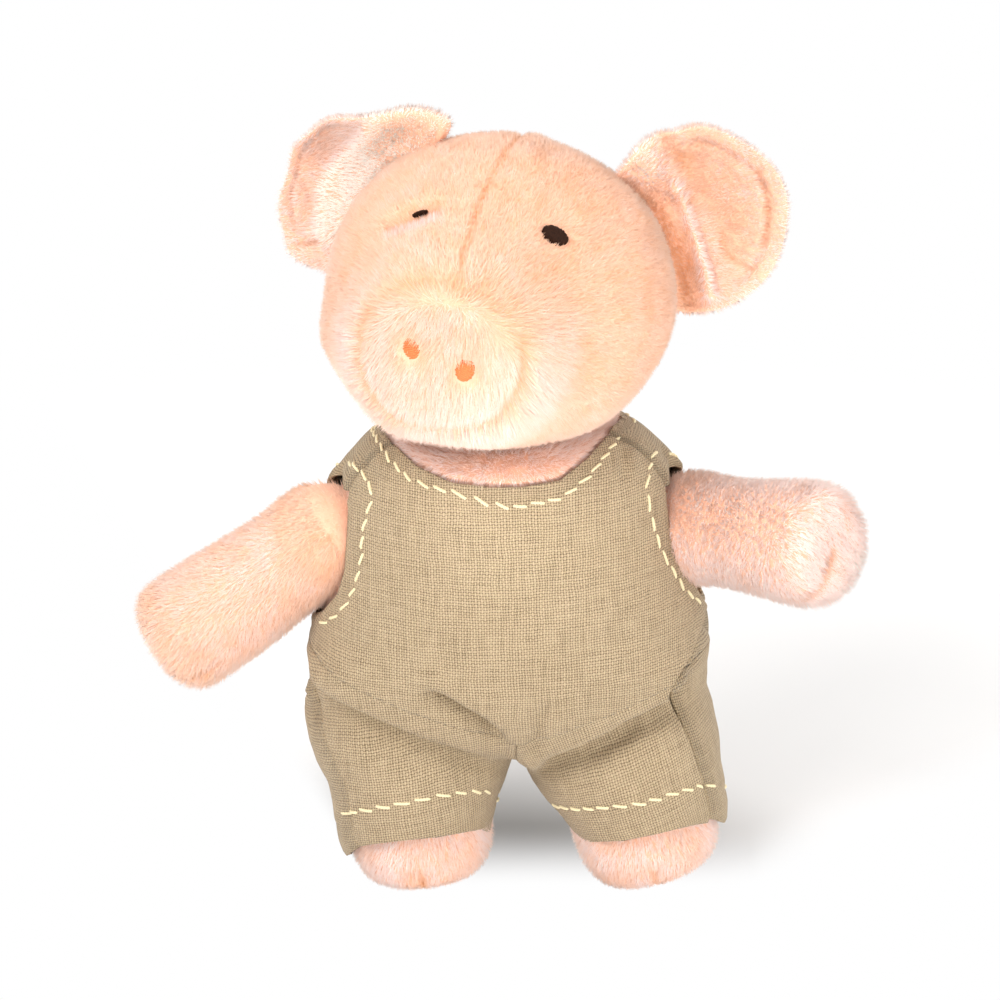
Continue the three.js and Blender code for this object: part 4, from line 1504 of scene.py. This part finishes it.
# How deep the cloth is drawn in at seams and stitches and rolled at its edges, and how high it swells between
SEAM_SQUEEZE = 1.6
STITCH_PUCKER = 0.28
EDGE_ROLL = 0.35
SEAM_SWELL, EDGE_SWELL = 0.25, 0.12
SEAM_GAP = 0.3
STITCH_INSET = 2.8
HEM_STITCH_RISE = 8.4
ARMHOLE_HALF_DEPTH = 9.5
ARMHOLE_HALF_HEIGHT = 16.0
ARMHOLE_HEIGHT = 84.0
NECK_HOLE_HALF = (27.0, 22.5)
# How far forward the neck hole lies from the body's middle
NECK_HOLE_FORWARD = 2
# The back of the hole is cut above the first height, and the photographed front above the second
NECK_BACK_HEIGHT, NECK_FRONT_HEIGHT = 97, 75
# How far to the side the armholes start
ARMHOLE_OUT = 20
# Above this height the cloth of the shoulders is drawn to the photograph
SHOULDER_HEIGHT = 84
CROTCH_X = 4.0
BELLY_FOLD_HEIGHT = 43.0

# Pixels of the photograph that guide the cloth
NECKLINE = [
    (372, 395), (380, 425), (389, 439), (416, 465), (451, 482), (491, 487),
    (520, 487), (560, 480), (586, 459), (609, 433), (622, 405),
]
NECK_STITCHES = [
    (372, 428), (385, 453), (400, 470), (416, 482), (451, 492), (474, 499), (491, 504),
    (514, 507), (537, 503), (557, 499), (577, 487), (594, 470), (614, 444), (622, 430),
]
ARMHOLES = {
    "right": [
        (336, 462), (343, 480), (347, 493), (346, 525), (343, 571), (336, 594), (318, 614),
        (230, 660), (230, 430),
    ],
    "left": [
        (676, 448), (670, 467), (667, 496), (672, 531), (683, 562), (692, 579), (707, 591),
        (800, 630), (800, 420),
    ],
}
ARMHOLE_STITCHES = {
    "right": [
        (349, 463), (362, 472), (372, 493), (370, 505), (365, 522), (362, 542),
        (361, 562), (357, 579), (349, 599), (337, 615), (320, 624),
    ],
    "left": [
        (656, 450), (650, 467), (647, 487), (650, 510), (655, 531),
        (663, 554), (675, 574), (686, 591), (702, 604),
    ],
}
SIDE_SEAMS = {
    "right": [
        (300, 600), (300, 640), (305, 677), (315, 700), (320, 737),
        (330, 763), (340, 783), (345, 807), (348, 833), (359, 860),
    ],
    "left": [
        (716, 600), (706, 630), (697, 655), (682, 680), (673, 697), (678, 709),
        (686, 722), (698, 750), (707, 778), (712, 800), (715, 820), (714, 850),
    ],
}
# Rows of the photograph with the left and right edge of each trouser leg
TROUSER_OUTLINE = {
    "right": [
        (640, 309, 510), (660, 304, 510), (680, 301, 510), (700, 302, 510), (720, 305, 510), (740, 310, 510),
        (760, 317, 508), (780, 328, 505), (800, 332, 498), (820, 333, 492), (840, 338, 491), (860, 346, 491),
    ],
    "left": [
        (640, 515, 709), (660, 515, 708), (680, 515, 711), (700, 516, 715), (720, 517, 718), (740, 518, 720),
        (760, 523, 721), (780, 532, 725), (800, 545, 728), (820, 563, 728), (840, 579, 723), (860, 588, 718),
    ],
}
# Rows that the cloth's own outline is measured over, how far apart, and how far to each side of a row
TROUSER_ROWS = (600, 870)
ROW_STEP, ROW_HALF = 9.0, 6
# The row of the crotch. The inner edges are fitted below it, and the fit starts softly at the top
CROTCH_ROW, CROTCH_FADE, OUTLINE_FADE = 752, 30, 50
HEM_EDGES = {
    "right": [(325, 862), (350, 853), (358, 847), (400, 842), (440, 838), (487, 829), (510, 824)],
    "left": [(560, 844), (585, 843), (623, 842), (657, 835), (690, 827), (723, 820), (745, 814)],
}
HEM_STITCHES = {
    "right": [(341, 815), (352, 812), (367, 810), (400, 804), (440, 796), (470, 792), (490, 792)],
    "left": [(553, 805), (577, 809), (610, 807), (640, 804), (673, 794), (700, 787), (716, 785)],
}
# Places where the back panel shows past the shoulders, and where the belly hangs over the crotch
SHOULDER_NUDGES = [(676, 456, 20, 7, 20), (338, 470, -20, 12, 20)]
CROTCH_NUDGE = (530, 756, 2, 12, 13)
# Rounded folds and furrows: a line, its half width and its height, in millimetres
FOLDS = [
    ([(434, 694), (456, 708), (484, 727), (506, 747)], 1.5, -1.4),
    ([(533, 757), (558, 746), (584, 741), (612, 730), (642, 712), (672, 690), (692, 662)], 2.4, 0.8),
    ([(570, 768), (597, 752), (622, 737), (644, 716)], 2.8, -1.8),
    ([(546, 700), (541, 724), (530, 758)], 1.5, -1.3),
    ([(556, 708), (551, 732), (536, 757)], 1.6, 0.6),
    ([(621, 447), (624, 462), (626, 480)], 1.0, -0.9),
    ([(630, 447), (632, 462), (633, 480)], 1.4, 0.5),
    ([(358, 448), (368, 466), (376, 484)], 1.4, -0.6),
    ([(585, 676), (600, 650), (612, 628)], 3.0, -0.4),
    ([(430, 640), (400, 622), (372, 612)], 4.0, -0.4),
    ([(352, 700), (362, 740), (366, 790)], 4.0, 0.6),
    ([(640, 766), (662, 778), (690, 784)], 4.0, -0.6),
    ([(376, 786), (410, 777), (450, 778)], 4.5, -0.6),
    ([(660, 720), (676, 742), (690, 772)], 4.0, 0.7),
]
# How soft the edge between a brow and its hollow is, in millimetres
BROW_EDGE = 0.45
# Folds with a brow above their line and a hollow beneath it: the line, the brow, the hollow and their widths
BROWS = [
    (
        [(308, 655), (330, 681), (352, 699), (388, 721), (424, 739), (464, 753), (503, 766)],
        2.0, 4.8, 7.0, 5.5,
    ),
    (
        [(430, 688), (453, 701), (484, 721), (509, 745)],
        0.9, 6.0, 5.0, 3.2,
    ),
    (
        [(529, 768), (546, 757), (565, 750), (600, 737), (637, 716), (668, 697), (692, 664)],
        1.8, 5.2, 6.0, 5.5,
    ),
]


def linen_form():
    """The body and both trouser legs as one smooth skin: points, triangles and edges."""
    body, faces, _ = turned_form(BODY_CURVE, LINEN_EASE, 180, 120, (BODY_DEPTH_TOP, BODY_DEPTH_FOOT))
    forms = [placed("torso", body)]
    trousers = limb_profile(TROUSER_RADIUS, TROUSER_LENGTH, TROUSER_SWELL)
    leg = turned_form(trousers, TROUSER_EASE, 180, 120)[0]
    for side in SIDES:
        forms.append(placed(f"leg_{side}", leg))
    all_faces = np.vstack([faces + k * len(body) for k in range(len(forms))])
    grown = add_mesh("linen_form", np.vstack(forms), all_faces, [])
    remesh = grown.modifiers.new("join", "REMESH")
    remesh.mode = "VOXEL"
    remesh.voxel_size = LINEN_VOXEL * MM
    joined = grown.evaluated_get(bpy.context.evaluated_depsgraph_get()).to_mesh()
    count = len(joined.vertices)
    points = np.zeros(count * 3, np.float32)
    joined.vertices.foreach_get("co", points)
    joined.calc_loop_triangles()
    tris = np.zeros(len(joined.loop_triangles) * 3, np.int32)
    joined.loop_triangles.foreach_get("vertices", tris)
    edges = np.zeros(len(joined.edges) * 2, np.int32)
    joined.edges.foreach_get("vertices", edges)
    bpy.data.objects.remove(grown)
    return points.reshape(-1, 3).astype(float) / MM, tris.reshape(-1, 3), edges.reshape(-1, 2)


def triangle_normals(points, tris):
    """Normals at the points of a triangle mesh, larger faces counting for more."""
    flat = np.cross(points[tris[:, 1]] - points[tris[:, 0]], points[tris[:, 2]] - points[tris[:, 0]])
    total = np.zeros_like(points)
    for axis in range(3):
        for k in range(3):
            total[:, axis] += np.bincount(tris[:, k], flat[:, axis], len(points))
    return unit(total)


def neighbour_mean(points, edges):
    """The middle of each point's neighbours."""
    count = np.bincount(edges.ravel(), minlength=len(points))
    total = np.zeros_like(points)
    for axis in range(3):
        total[:, axis] += np.bincount(edges[:, 0], points[edges[:, 1], axis], len(points))
        total[:, axis] += np.bincount(edges[:, 1], points[edges[:, 0], axis], len(points))
    return total / np.maximum(count, 1)[:, None]


def bridge_hollows(points, tris, edges):
    """Cloth drawn smooth, then pulled out of its hollows at the sides and behind."""
    for _ in range(int(5 / LINEN_VOXEL)):
        points = points + 0.5 * (neighbour_mean(points, edges) - points)
    aside = np.clip((np.abs(points[:, 0] - CROTCH_X) - 27) / 10, 0, 1)
    behind = np.clip((within("torso", points)[:, 1] - 4) / 8, 0, 1)
    for _ in range(int(60 / LINEN_VOXEL ** 2)):
        normals = triangle_normals(points, tris)
        pull = ((neighbour_mean(points, edges) - points) * normals).sum(1)
        points = points + normals * (np.maximum(pull, 0) * np.maximum(aside, 0.6 * behind))[:, None]
    return points


def fading_ends(along, steepness, least):
    """Less of a fold towards both ends of its line."""
    return np.clip(np.minimum(along, 1 - along) * steepness, least, 1)


def brow_height(away, brow, hollow, above, beneath):
    """The height across a fold whose brow hangs over a hollow, by the distance above its line."""
    upper = brow * np.exp(-np.maximum(away, 0) / above)
    lower = -hollow * np.exp(-np.maximum(-away, 0) / beneath)
    step = 1 / (1 + np.exp(-away / BROW_EDGE))
    return upper * step + lower * (1 - step)


def fold_relief(points, normals):
    """How high the photographed folds and the cloth's own unevenness lift each point."""
    pixels = project(points)
    facing = np.clip((normals @ VIEW_WAY) * 3.5 + 0.15, 0, 1)
    lift = np.zeros(len(points))
    for path, width, height in FOLDS:
        away, along = near_path(pixels, path)
        lift += height * bump(away, width) * fading_ends(along, 5, 0.15) * facing
    for path, brow, hollow, above, beneath in BROWS:
        away, along = beside_path(pixels, path)
        reach = bump(away, 3 * (above + beneath))
        relief = brow_height(away, brow, hollow, above, beneath)
        lift += relief * fading_ends(along, 6, 0.1) * facing * reach
    return lift + (0.22 * noise(points, 11.0, 210) + 0.12 * noise(points, 5.0, 220))


def drape_linen(points, tris, edges):
    """Cloth that bridges the hollows at its sides, then takes the folds seen in the photograph."""
    points = bridge_hollows(points, tris, edges)
    normals = triangle_normals(points, tris)
    points = points + normals * fold_relief(points, normals)[:, None]
    points = points + 0.4 * (neighbour_mean(points, edges) - points)
    points = fit_to_outline(points)
    local = within("torso", points)
    at_shoulder = np.clip(local[:, 1] / 4, 0, 1) * (local[:, 2] > SHOULDER_HEIGHT)
    pulled = nudged(points, SHOULDER_NUDGES)
    points = points + (pulled - points) * at_shoulder[:, None]
    return nudged(points, [CROTCH_NUDGE])


def fit_to_outline(points):
    """The cloth's two legs widened or narrowed, row by row, to the outline in the photograph."""
    pixels = project(points)
    moved = pixels[:, 0].copy()
    for side, sign in SIDES.items():
        mine = (points[:, 0] - CROTCH_X) * sign > 0
        wanted = np.array(TROUSER_OUTLINE[side], float)
        rows, reach = [], []
        for row in np.arange(*TROUSER_ROWS, ROW_STEP):
            band = pixels[mine & (np.abs(pixels[:, 1] - row) < ROW_HALF), 0]
            if len(band):
                rows.append(row)
                reach.append((band.min(), band.max()))
        rows, reach = np.array(rows), smooth_line(np.array(reach), 2)
        y = pixels[:, 1]
        low, high = (np.interp(y, rows, reach[:, k]) for k in range(2))
        new_low, new_high = (np.interp(y, wanted[:, 0], wanted[:, k]) for k in (1, 2))
        under_crotch = np.clip((y - CROTCH_ROW) / CROTCH_FADE, 0, 1)
        if sign > 0:
            new_low = low + (new_low - low) * under_crotch
        else:
            new_high = high + (new_high - high) * under_crotch
        share = (pixels[:, 0] - low) / np.maximum(high - low, 1)
        start = np.clip((y - TROUSER_ROWS[0]) / OUTLINE_FADE, 0, 1)
        shift = (new_low - low) * (1 - share) + (new_high - high) * share
        moved = np.where(mine, pixels[:, 0] + shift * start, moved)
    points = points.copy()
    points[:, 0] += (moved - pixels[:, 0]) / PIXELS_PER_MM
    return points


def trim(rows, tris, gauge):
    """The part of a triangle mesh where the gauge is above zero, cut along its zero line.

    rows are the points with whatever goes with them.
    """
    keep = gauge > 0
    inside = keep[tris]
    count = inside.sum(1)
    whole = tris[count == 3]
    mixed = (count == 1) | (count == 2)
    cut, inside = tris[mixed], inside[mixed]
    lone = np.where((inside.sum(1) == 1)[:, None], inside, ~inside)
    order = (lone.argmax(1)[:, None] + np.arange(3)) % 3
    cut = np.take_along_axis(cut, order, axis=1)
    pairs = np.sort(np.vstack([cut[:, [0, 1]], cut[:, [0, 2]]]), axis=1)
    ends, index = np.unique(pairs, axis=0, return_inverse=True)
    index = index.ravel()
    share = gauge[ends[:, 0]] / (gauge[ends[:, 0]] - gauge[ends[:, 1]])
    new = rows[ends[:, 0]] + share[:, None] * (rows[ends[:, 1]] - rows[ends[:, 0]])
    first = len(rows) + index[: len(cut)]
    second = len(rows) + index[len(cut):]
    alone = keep[cut[:, 0]]
    tips = np.stack([cut[alone, 0], first[alone], second[alone]], axis=1)
    pair = ~alone
    wide = np.stack([first[pair], cut[pair, 1], cut[pair, 2]], axis=1)
    rest = np.stack([first[pair], cut[pair, 2], second[pair]], axis=1)
    kept = np.vstack([whole, tips, wide, rest])
    rows = np.vstack([rows, new])
    used, renumbered = np.unique(kept, return_inverse=True)
    return rows[used], renumbered.reshape(kept.shape)


def inside_path(pixels, path):
    """Signed distance in millimetres to a closed line on the photograph, below zero inside it."""
    away, _ = near_path(pixels, path + path[:1])
    inside = np.zeros(len(pixels), bool)
    x, y = pixels[:, 0], pixels[:, 1]
    for (ax, ay), (bx, by) in zip(path, path[1:] + path[:1]):
        if ay == by:
            continue
        crosses = ((ay > y) != (by > y)) & (x < ax + (y - ay) * (bx - ax) / (by - ay))
        inside ^= crosses
    return np.where(inside, -away, away)


def neck_gauge(points):
    """Above zero where the cloth lies outside the neck hole."""
    local = within("torso", points)
    half_x, half_y = NECK_HOLE_HALF
    round_hole = (np.hypot(local[:, 0] / half_x, (local[:, 1] + NECK_HOLE_FORWARD) / half_y) - 1) * half_y
    behind = np.maximum(round_hole, NECK_BACK_HEIGHT - local[:, 2])
    front = np.where(local[:, 1] < 6, inside_path(project(points), NECKLINE), 99)
    front = np.where(local[:, 2] < NECK_FRONT_HEIGHT, 99, front)
    blend = np.clip((local[:, 1] + 6) / 10, 0, 1)
    return front * (1 - blend) + behind * blend


def armhole_gauge(points):
    """Above zero where the cloth lies outside the armholes: as photographed in front, round behind."""
    local = within("torso", points)
    size = (ARMHOLE_HALF_DEPTH + ARMHOLE_HALF_HEIGHT) / 2
    over, up = (local[:, 1] + 1) / ARMHOLE_HALF_DEPTH, (local[:, 2] - ARMHOLE_HEIGHT) / ARMHOLE_HALF_HEIGHT
    round_hole = np.hypot(over, up) - 1
    behind = np.clip((local[:, 1] + 9) / 8, 0, 1)
    pixels = project(points)
    total = np.full(len(points), 99.0)
    for side, sign in SIDES.items():
        seen = inside_path(pixels, ARMHOLES[side])
        gauge = seen * (1 - behind) + round_hole * size * behind
        total = np.where(local[:, 0] * sign > ARMHOLE_OUT, gauge, total)
    return total


# Each hem behind: its height, the place of that height across, and its slope
HEMS = {1: (10.8, 36.0, 0.19), -1: (8.8, -19.0, 0.14)}


def hem_gauge(points):
    """Above zero where the cloth lies above the hems: as photographed in front, level behind."""
    total = np.zeros(len(points))
    pixels = project(points)
    for side, sign in SIDES.items():
        height, middle, slope = HEMS[sign]
        behind = points[:, 2] - height - slope * (points[:, 0] - middle)
        edge = np.array(HEM_EDGES[side], float)
        seen = (np.interp(pixels[:, 0], edge[:, 0], edge[:, 1]) - pixels[:, 1]) / PIXELS_PER_MM
        share = np.clip((within(f"leg_{side}", points)[:, 1] + 8) / 12, 0, 1)
        mine = (points[:, 0] - CROTCH_X) * sign > 0
        total = np.where(mine, seen * (1 - share) + behind * share, total)
    return total


def seam_gauge(points):
    """Above zero in front of the side and shoulder seams."""
    local = within("torso", points)
    pixels = project(points)
    low = np.full(len(points), -99.0)
    for side, sign in SIDES.items():
        seam = np.array(SIDE_SEAMS[side], float)
        inward = sign * (np.interp(pixels[:, 1], seam[:, 1], seam[:, 0]) - pixels[:, 0]) / PIXELS_PER_MM
        low = np.where((points[:, 0] - CROTCH_X) * sign > 0, inward, low)
    low = np.minimum(low, 1 - local[:, 1])
    high = np.interp(local[:, 2], [70, 90, 98, 108], [-2, -4, -9, -10]) - local[:, 1]
    share = np.clip((local[:, 2] - 66) / 8, 0, 1)
    return low * (1 - share) + high * share


# How deep the body is for its width, where the cloth lies round it
BIB_ROUNDNESS = 0.70


def bib_grid(points):
    """Where each point of a bib lies on its flat cloth, in millimetres: across and down."""
    local = within("torso", points)
    angle = np.linspace(-math.pi, math.pi, 361)
    step = np.hypot(np.cos(angle), BIB_ROUNDNESS * np.sin(angle))
    arc = np.concatenate([[0], np.cumsum((step[1:] + step[:-1]) / 2 * np.diff(angle))])
    arc -= arc[180]
    size = np.hypot(local[:, 0], local[:, 1] / BIB_ROUNDNESS)
    across = size * np.interp(np.arctan2(local[:, 0], -local[:, 1] / BIB_ROUNDNESS), angle, arc)
    curve = smooth_curve(BODY_CURVE, 200)
    heights = [BODY_FOOT, BODY_FOOT + BODY_HEIGHT]
    deep = np.interp(curve[:, 1], heights, [BODY_DEPTH_FOOT, BODY_DEPTH_TOP])
    front = np.stack([curve[:, 0] * deep, curve[:, 1]], axis=1)
    fall = np.concatenate([[0], np.cumsum(np.linalg.norm(np.diff(front, axis=0), axis=1))])
    order = np.argsort(curve[:, 1])
    down = -np.interp(local[:, 2], curve[order, 1], fall[order])
    return np.stack([across, down], axis=1)


def trouser_grid(points, side):
    """The same for a trouser leg."""
    local = within(f"leg_{side}", points)
    turn = np.arctan2(local[:, 0], -local[:, 1])
    reach = np.hypot(local[:, 0], local[:, 1])
    slope = HEMS[SIDES[side]][2]
    across = reach * turn * 0.97 + SIDES[side] * 27.3
    return np.stack([across, local[:, 2] - 0.6 * slope * local[:, 0]], axis=1)


def shell(name, rows, tris, thickness):
    """A closed piece of cloth from its outer surface. rows are points, normals and cloth places."""
    count = len(rows)
    points, normals, uv = rows[:, :3], unit(rows[:, 3:6]), rows[:, 6:8]
    lower = points - normals * thickness
    sides = np.sort(np.vstack([tris[:, [0, 1]], tris[:, [1, 2]], tris[:, [2, 0]]]), axis=1)
    _, index, number = np.unique(sides, axis=0, return_inverse=True, return_counts=True)
    directed = np.vstack([tris[:, [0, 1]], tris[:, [1, 2]], tris[:, [2, 0]]])
    rim = directed[number[index.ravel()] == 1]
    rim_out = unit(np.cross(points[rim[:, 1]] - points[rim[:, 0]], normals[rim[:, 0]]))
    walls = np.vstack([
        np.stack([rim[:, 0], rim[:, 0] + count, rim[:, 1]], axis=1),
        np.stack([rim[:, 1], rim[:, 0] + count, rim[:, 1] + count], axis=1),
    ])
    faces = np.vstack([tris, tris[:, ::-1] + count, walls])
    turned_out = normals.copy()
    for axis in range(3):
        turned_out[:, axis] += 0.8 * np.bincount(rim.ravel(), np.repeat(rim_out[:, axis], 2), count)
    all_normals = np.vstack([unit(turned_out), -normals])
    return add_mesh(
        name, np.vstack([points, lower]), faces, [LINEN], normals=all_normals, uv=np.vstack([uv, uv]),
    )


def cut_cloth():
    """The six pieces before they are sewn: points with normals, triangles, and the part each covers."""
    points, tris, edges = linen_form()
    points = drape_linen(points, tris, edges)
    rows = np.hstack([points, triangle_normals(points, tris)])
    for gauge in (neck_gauge, armhole_gauge, hem_gauge):
        rows, tris = trim(rows, tris, gauge(rows[:, :3]))
    front = seam_gauge(rows[:, :3])
    gap = SEAM_GAP * np.clip(np.abs(unit(rows[:, 3:6]) @ VIEW_WAY), 0.3, 1)
    pieces = {}
    for face, gauge in (("front", front), ("back", -front)):
        cloth, mesh = trim(rows, tris, gauge - gap)
        low = fold_gauge(cloth[:, :3])
        pieces[f"overalls_{face}_bib"] = (*trim(cloth, mesh, -low), "bib")
        legs, leg_mesh = trim(cloth, mesh, low)
        for side, sign in SIDES.items():
            half = (legs[:, 0] - CROTCH_X) * sign
            pieces[f"overalls_{face}_trouser_{side}"] = (*trim(legs, leg_mesh, half), side)
    return pieces


# How far out and down the cloth goes from the crotch, which sets where it is cut into bib and trouser legs
LEG_TAKES_OVER = (7.0, 20.0)
# The length of that step, to the tenth of a millimetre
TAKE_OVER_LENGTH = 21.2


def blend_to_leg(piece, side):
    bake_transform(piece)


def build_overalls():
    pieces = {}
    for name, (cloth, mesh, part) in cut_cloth().items():
        cloth = press_edges(cloth)
        flat = bib_grid(cloth[:, :3]) if part == "bib" else trouser_grid(cloth[:, :3], part)
        piece = shell(name, np.hstack([cloth, flat]), mesh, LINEN_THICKNESS)
        if part == "bib":
            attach(piece, "torso")
        else:
            blend_to_leg(piece, part)
        pieces[name] = piece
    for face in ("front", "back"):
        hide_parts(f"overalls_{face}")
    return pieces


def fold_gauge(points):
    """Above zero under the belly fold, where the cloth is cut into the trouser legs."""
    out = np.abs(points[:, 0] - CROTCH_X)
    beside, under = LEG_TAKES_OVER
    return (BELLY_FOLD_HEIGHT - points[:, 2]) * under / TAKE_OVER_LENGTH + out * beside / TAKE_OVER_LENGTH


def press_edges(cloth):
    """Edges rolled over, seams drawn in, and the cloth puckered along its stitches."""
    points, normals = cloth[:, :3], unit(cloth[:, 3:6])
    seam = np.abs(seam_gauge(points))
    lift = -SEAM_SQUEEZE * bump(seam, 0.8) + SEAM_SWELL * bump(seam - 1.9, 1.0)
    ripple = noise(points, 2.6, 240)
    insets = {neck_gauge: STITCH_INSET, armhole_gauge: STITCH_INSET, hem_gauge: HEM_STITCH_RISE}
    for gauge, inset in insets.items():
        away = gauge(points)
        lift -= EDGE_ROLL * bump(away, 0.7)
        lift -= (STITCH_PUCKER + 0.2 * ripple) * bump(away - inset, 0.8)
        lift += EDGE_SWELL * bump(away - inset * 0.5, inset * 0.3)
    moved = points + normals * lift[:, None]
    return np.hstack([moved, normals])


# Top stitching

STITCH_LENGTH = 3.4
STITCH_GAP = 1.1
STITCH_RADIUS = 0.38
STITCH_STEPS = 26
# How far to each side a stitch slants, how high it stands and how deep its ends dive
STITCH_SLANT, STITCH_RISE, STITCH_DIVE = 0.42, 0.42, 0.25


def dashes(path, normals, seed):
    """Stitches along a line on the cloth: each dives in at its ends."""
    gone = np.concatenate([[0], np.cumsum(np.linalg.norm(np.diff(path, axis=0), axis=1))])
    chance = np.random.default_rng(seed)
    place, made = 0.4, []
    while place < gone[-1] - STITCH_LENGTH * 0.6:
        long = STITCH_LENGTH * (0.85 + 0.3 * chance.random())
        s = np.linspace(place, min(place + long, gone[-1]), STITCH_STEPS)
        line = np.stack([np.interp(s, gone, path[:, k]) for k in range(3)], axis=1)
        up = unit(np.stack([np.interp(s, gone, normals[:, k]) for k in range(3)], axis=1))
        t = np.linspace(-1, 1, STITCH_STEPS)
        aside = unit(np.cross(unit(np.gradient(line, axis=0)), up))
        lean = STITCH_SLANT * (0.6 + 0.8 * chance.random())
        lift = STITCH_RISE * (1 - t ** 4) - STITCH_DIVE
        made.append(line + up * lift[:, None] + aside * (lean * t)[:, None])
        place += long + STITCH_GAP * (0.7 + 0.6 * chance.random())
    return made


def cast_line(tree, origins, ways):
    """Where rays meet the cloth: points and normals of those that do."""
    spots, normals = [], []
    for origin, way in zip(origins, ways):
        spot, normal, _, _ = tree.ray_cast(Vector(origin * MM), Vector(way))
        if spot is not None:
            spots.append(np.array(spot) / MM)
            facing = np.array(normal)
            normals.append(facing if facing @ way < 0 else -facing)
    return np.array(spots), np.array(normals)


def smooth_line(values, rounds):
    """Rows of values evened out along their line, with both ends kept."""
    values = values.copy()
    for _ in range(rounds):
        values[1:-1] = (values[:-2] + 2 * values[1:-1] + values[2:]) / 4
    return values


def cloth_tree(pieces):
    """Pieces of cloth, ready to be met by rays."""
    points, tris = [], []
    base = 0
    for piece in pieces:
        data = piece.data
        co = np.zeros(len(data.vertices) * 3, np.float32)
        data.vertices.foreach_get("co", co)
        index = np.zeros(len(data.polygons) * 3, np.int32)
        data.polygons.foreach_get("vertices", index)
        points.append(co.reshape(-1, 3))
        tris.append(index.reshape(-1, 3) + base)
        base += len(data.vertices)
    return BVHTree.FromPolygons(np.vstack(points).tolist(), np.vstack(tris).tolist())


def seen_line(tree, photo_line, samples):
    """Where a line of the photograph falls on the cloth."""
    eye = CAMERA_TARGET + VIEW_WAY * CAMERA_DISTANCE
    right = np.array([1.0, 0, 0])
    up = np.cross(right, -VIEW_WAY)
    pixels = smooth_curve(photo_line, samples)
    ways = unit(
        -VIEW_WAY * CAMERA_FOCAL_PIXELS
        + (pixels[:, :1] - PHOTO_SIDE / 2) * right
        - (pixels[:, 1:] - PHOTO_SIDE / 2) * up
    )
    return cast_line(tree, np.tile(eye, (len(ways), 1)), ways)


def cloth_of(pieces, ending):
    return cloth_tree([piece for name, piece in pieces.items() if name.endswith(ending)])


def neck_back_line(bib):
    origin, axes = PLACES["torso"]
    turn = np.linspace(0.12, math.pi - 0.12, 90)
    wide, deep = (half + STITCH_INSET for half in NECK_HOLE_HALF)
    ring = np.stack([
        wide * np.cos(turn), deep * np.sin(turn) - NECK_HOLE_FORWARD, np.full(90, 130.0),
    ], axis=1)
    down = np.tile(axes @ np.array([0, 0, -1.0]), (90, 1))
    return cast_line(bib, ring @ axes.T + origin, down)


def armhole_back_line(bib, sign):
    origin, axes = PLACES["torso"]
    turn = np.linspace(-1.1, 1.35, 120)
    ring = np.stack([
        np.full(120, sign * 60.0),
        (ARMHOLE_HALF_DEPTH + STITCH_INSET) * np.cos(turn) - 1,
        (ARMHOLE_HALF_HEIGHT + STITCH_INSET) * np.sin(turn) + ARMHOLE_HEIGHT,
    ], axis=1)
    inward = np.tile(axes @ np.array([-sign, 0, 0]), (120, 1))
    return cast_line(bib, ring @ axes.T + origin, inward)


def hem_back_line(leg, side, sign):
    height, _, slope = HEMS[sign]
    hip, leg_axes = PLACES[f"leg_{side}"]
    centre = hip - leg_axes[:, 2] * (hip[2] - height - HEM_STITCH_RISE) / leg_axes[2, 2]
    turn = np.linspace(-0.15, math.pi + 0.15, 120)
    ways = unit(np.stack([np.cos(turn), np.sin(turn), slope * np.cos(turn)], axis=1))
    return cast_line(leg, centre + ways * 45, -ways)


def stitch_lines(pieces):
    """Each line of stitches: its points, its normals and the leg it goes with, if any."""
    bib = cloth_of(pieces, "bib")
    lines = {
        "neck_front": (*seen_line(bib, NECK_STITCHES, 160), None),
        "neck_back": (*neck_back_line(bib), None),
    }
    for side, sign in SIDES.items():
        leg = cloth_of(pieces, f"trouser_{side}")
        lines[f"armhole_{side}_front"] = (*seen_line(bib, ARMHOLE_STITCHES[side], 120), None)
        lines[f"armhole_{side}_back"] = (*armhole_back_line(bib, sign), None)
        lines[f"hem_{side}_front"] = (*seen_line(leg, HEM_STITCHES[side], 120), side)
        lines[f"hem_{side}_back"] = (*hem_back_line(leg, side, sign), side)
    return lines


def build_stitching(pieces):
    for k, (name, (path, normals, side)) in enumerate(stitch_lines(pieces).items()):
        path, normals = smooth_line(path, 3), unit(smooth_line(normals, 6))
        stitches = dashes(path, normals, 300 + k)
        thread = add_threads(f"stitching_{name}", stitches, STITCH_RADIUS, TOP_THREAD, TOP_STITCH)
        if side is None:
            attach(thread, "torso")
        else:
            blend_to_leg(thread, side)


# The whole toy

bpy.context.scene.view_settings.view_transform = "Standard"
set_camera()
set_light()
set_floor()
PLUSH_GROUND = grouped_material("plush_ground", plush_ground_group(), {}, 0.85, 0.3, 0.0004, 0.5)
LINEN = grouped_material("linen", linen_group(), {}, 0.9, 0.12, 0.00025, 0.8)
STITCHING = thread_group()
TOP_THREAD = grouped_material("top_stitching", STITCHING, {}, 0.6, 0.2, 0.0001, 0.6)
EYE_COLOURS = {"Pale": (0.045, 0.018, 0.01, 1), "Deep": (0.006, 0.003, 0.002, 1)}
EYE_THREAD = grouped_material("eye_thread", STITCHING, EYE_COLOURS, 0.7, 0.0, 0.0001, 0.8, 0.07)
NOSTRIL_COLOURS = {"Pale": (0.86, 0.24, 0.075, 1), "Deep": (0.6, 0.11, 0.035, 1)}
NOSTRIL_THREAD = grouped_material("nostril_thread", STITCHING, NOSTRIL_COLOURS, 0.6, 0.05, 0.0001, 0.6, 0.25)
PILE = pile_materials("pile", PILE_SHADES)

build_head()
build_face()
build_body()
build_collar()
for side in SIDES:
    build_ear(side)
    build_arm(side)
    build_leg(side)
build_stitching(build_overalls())
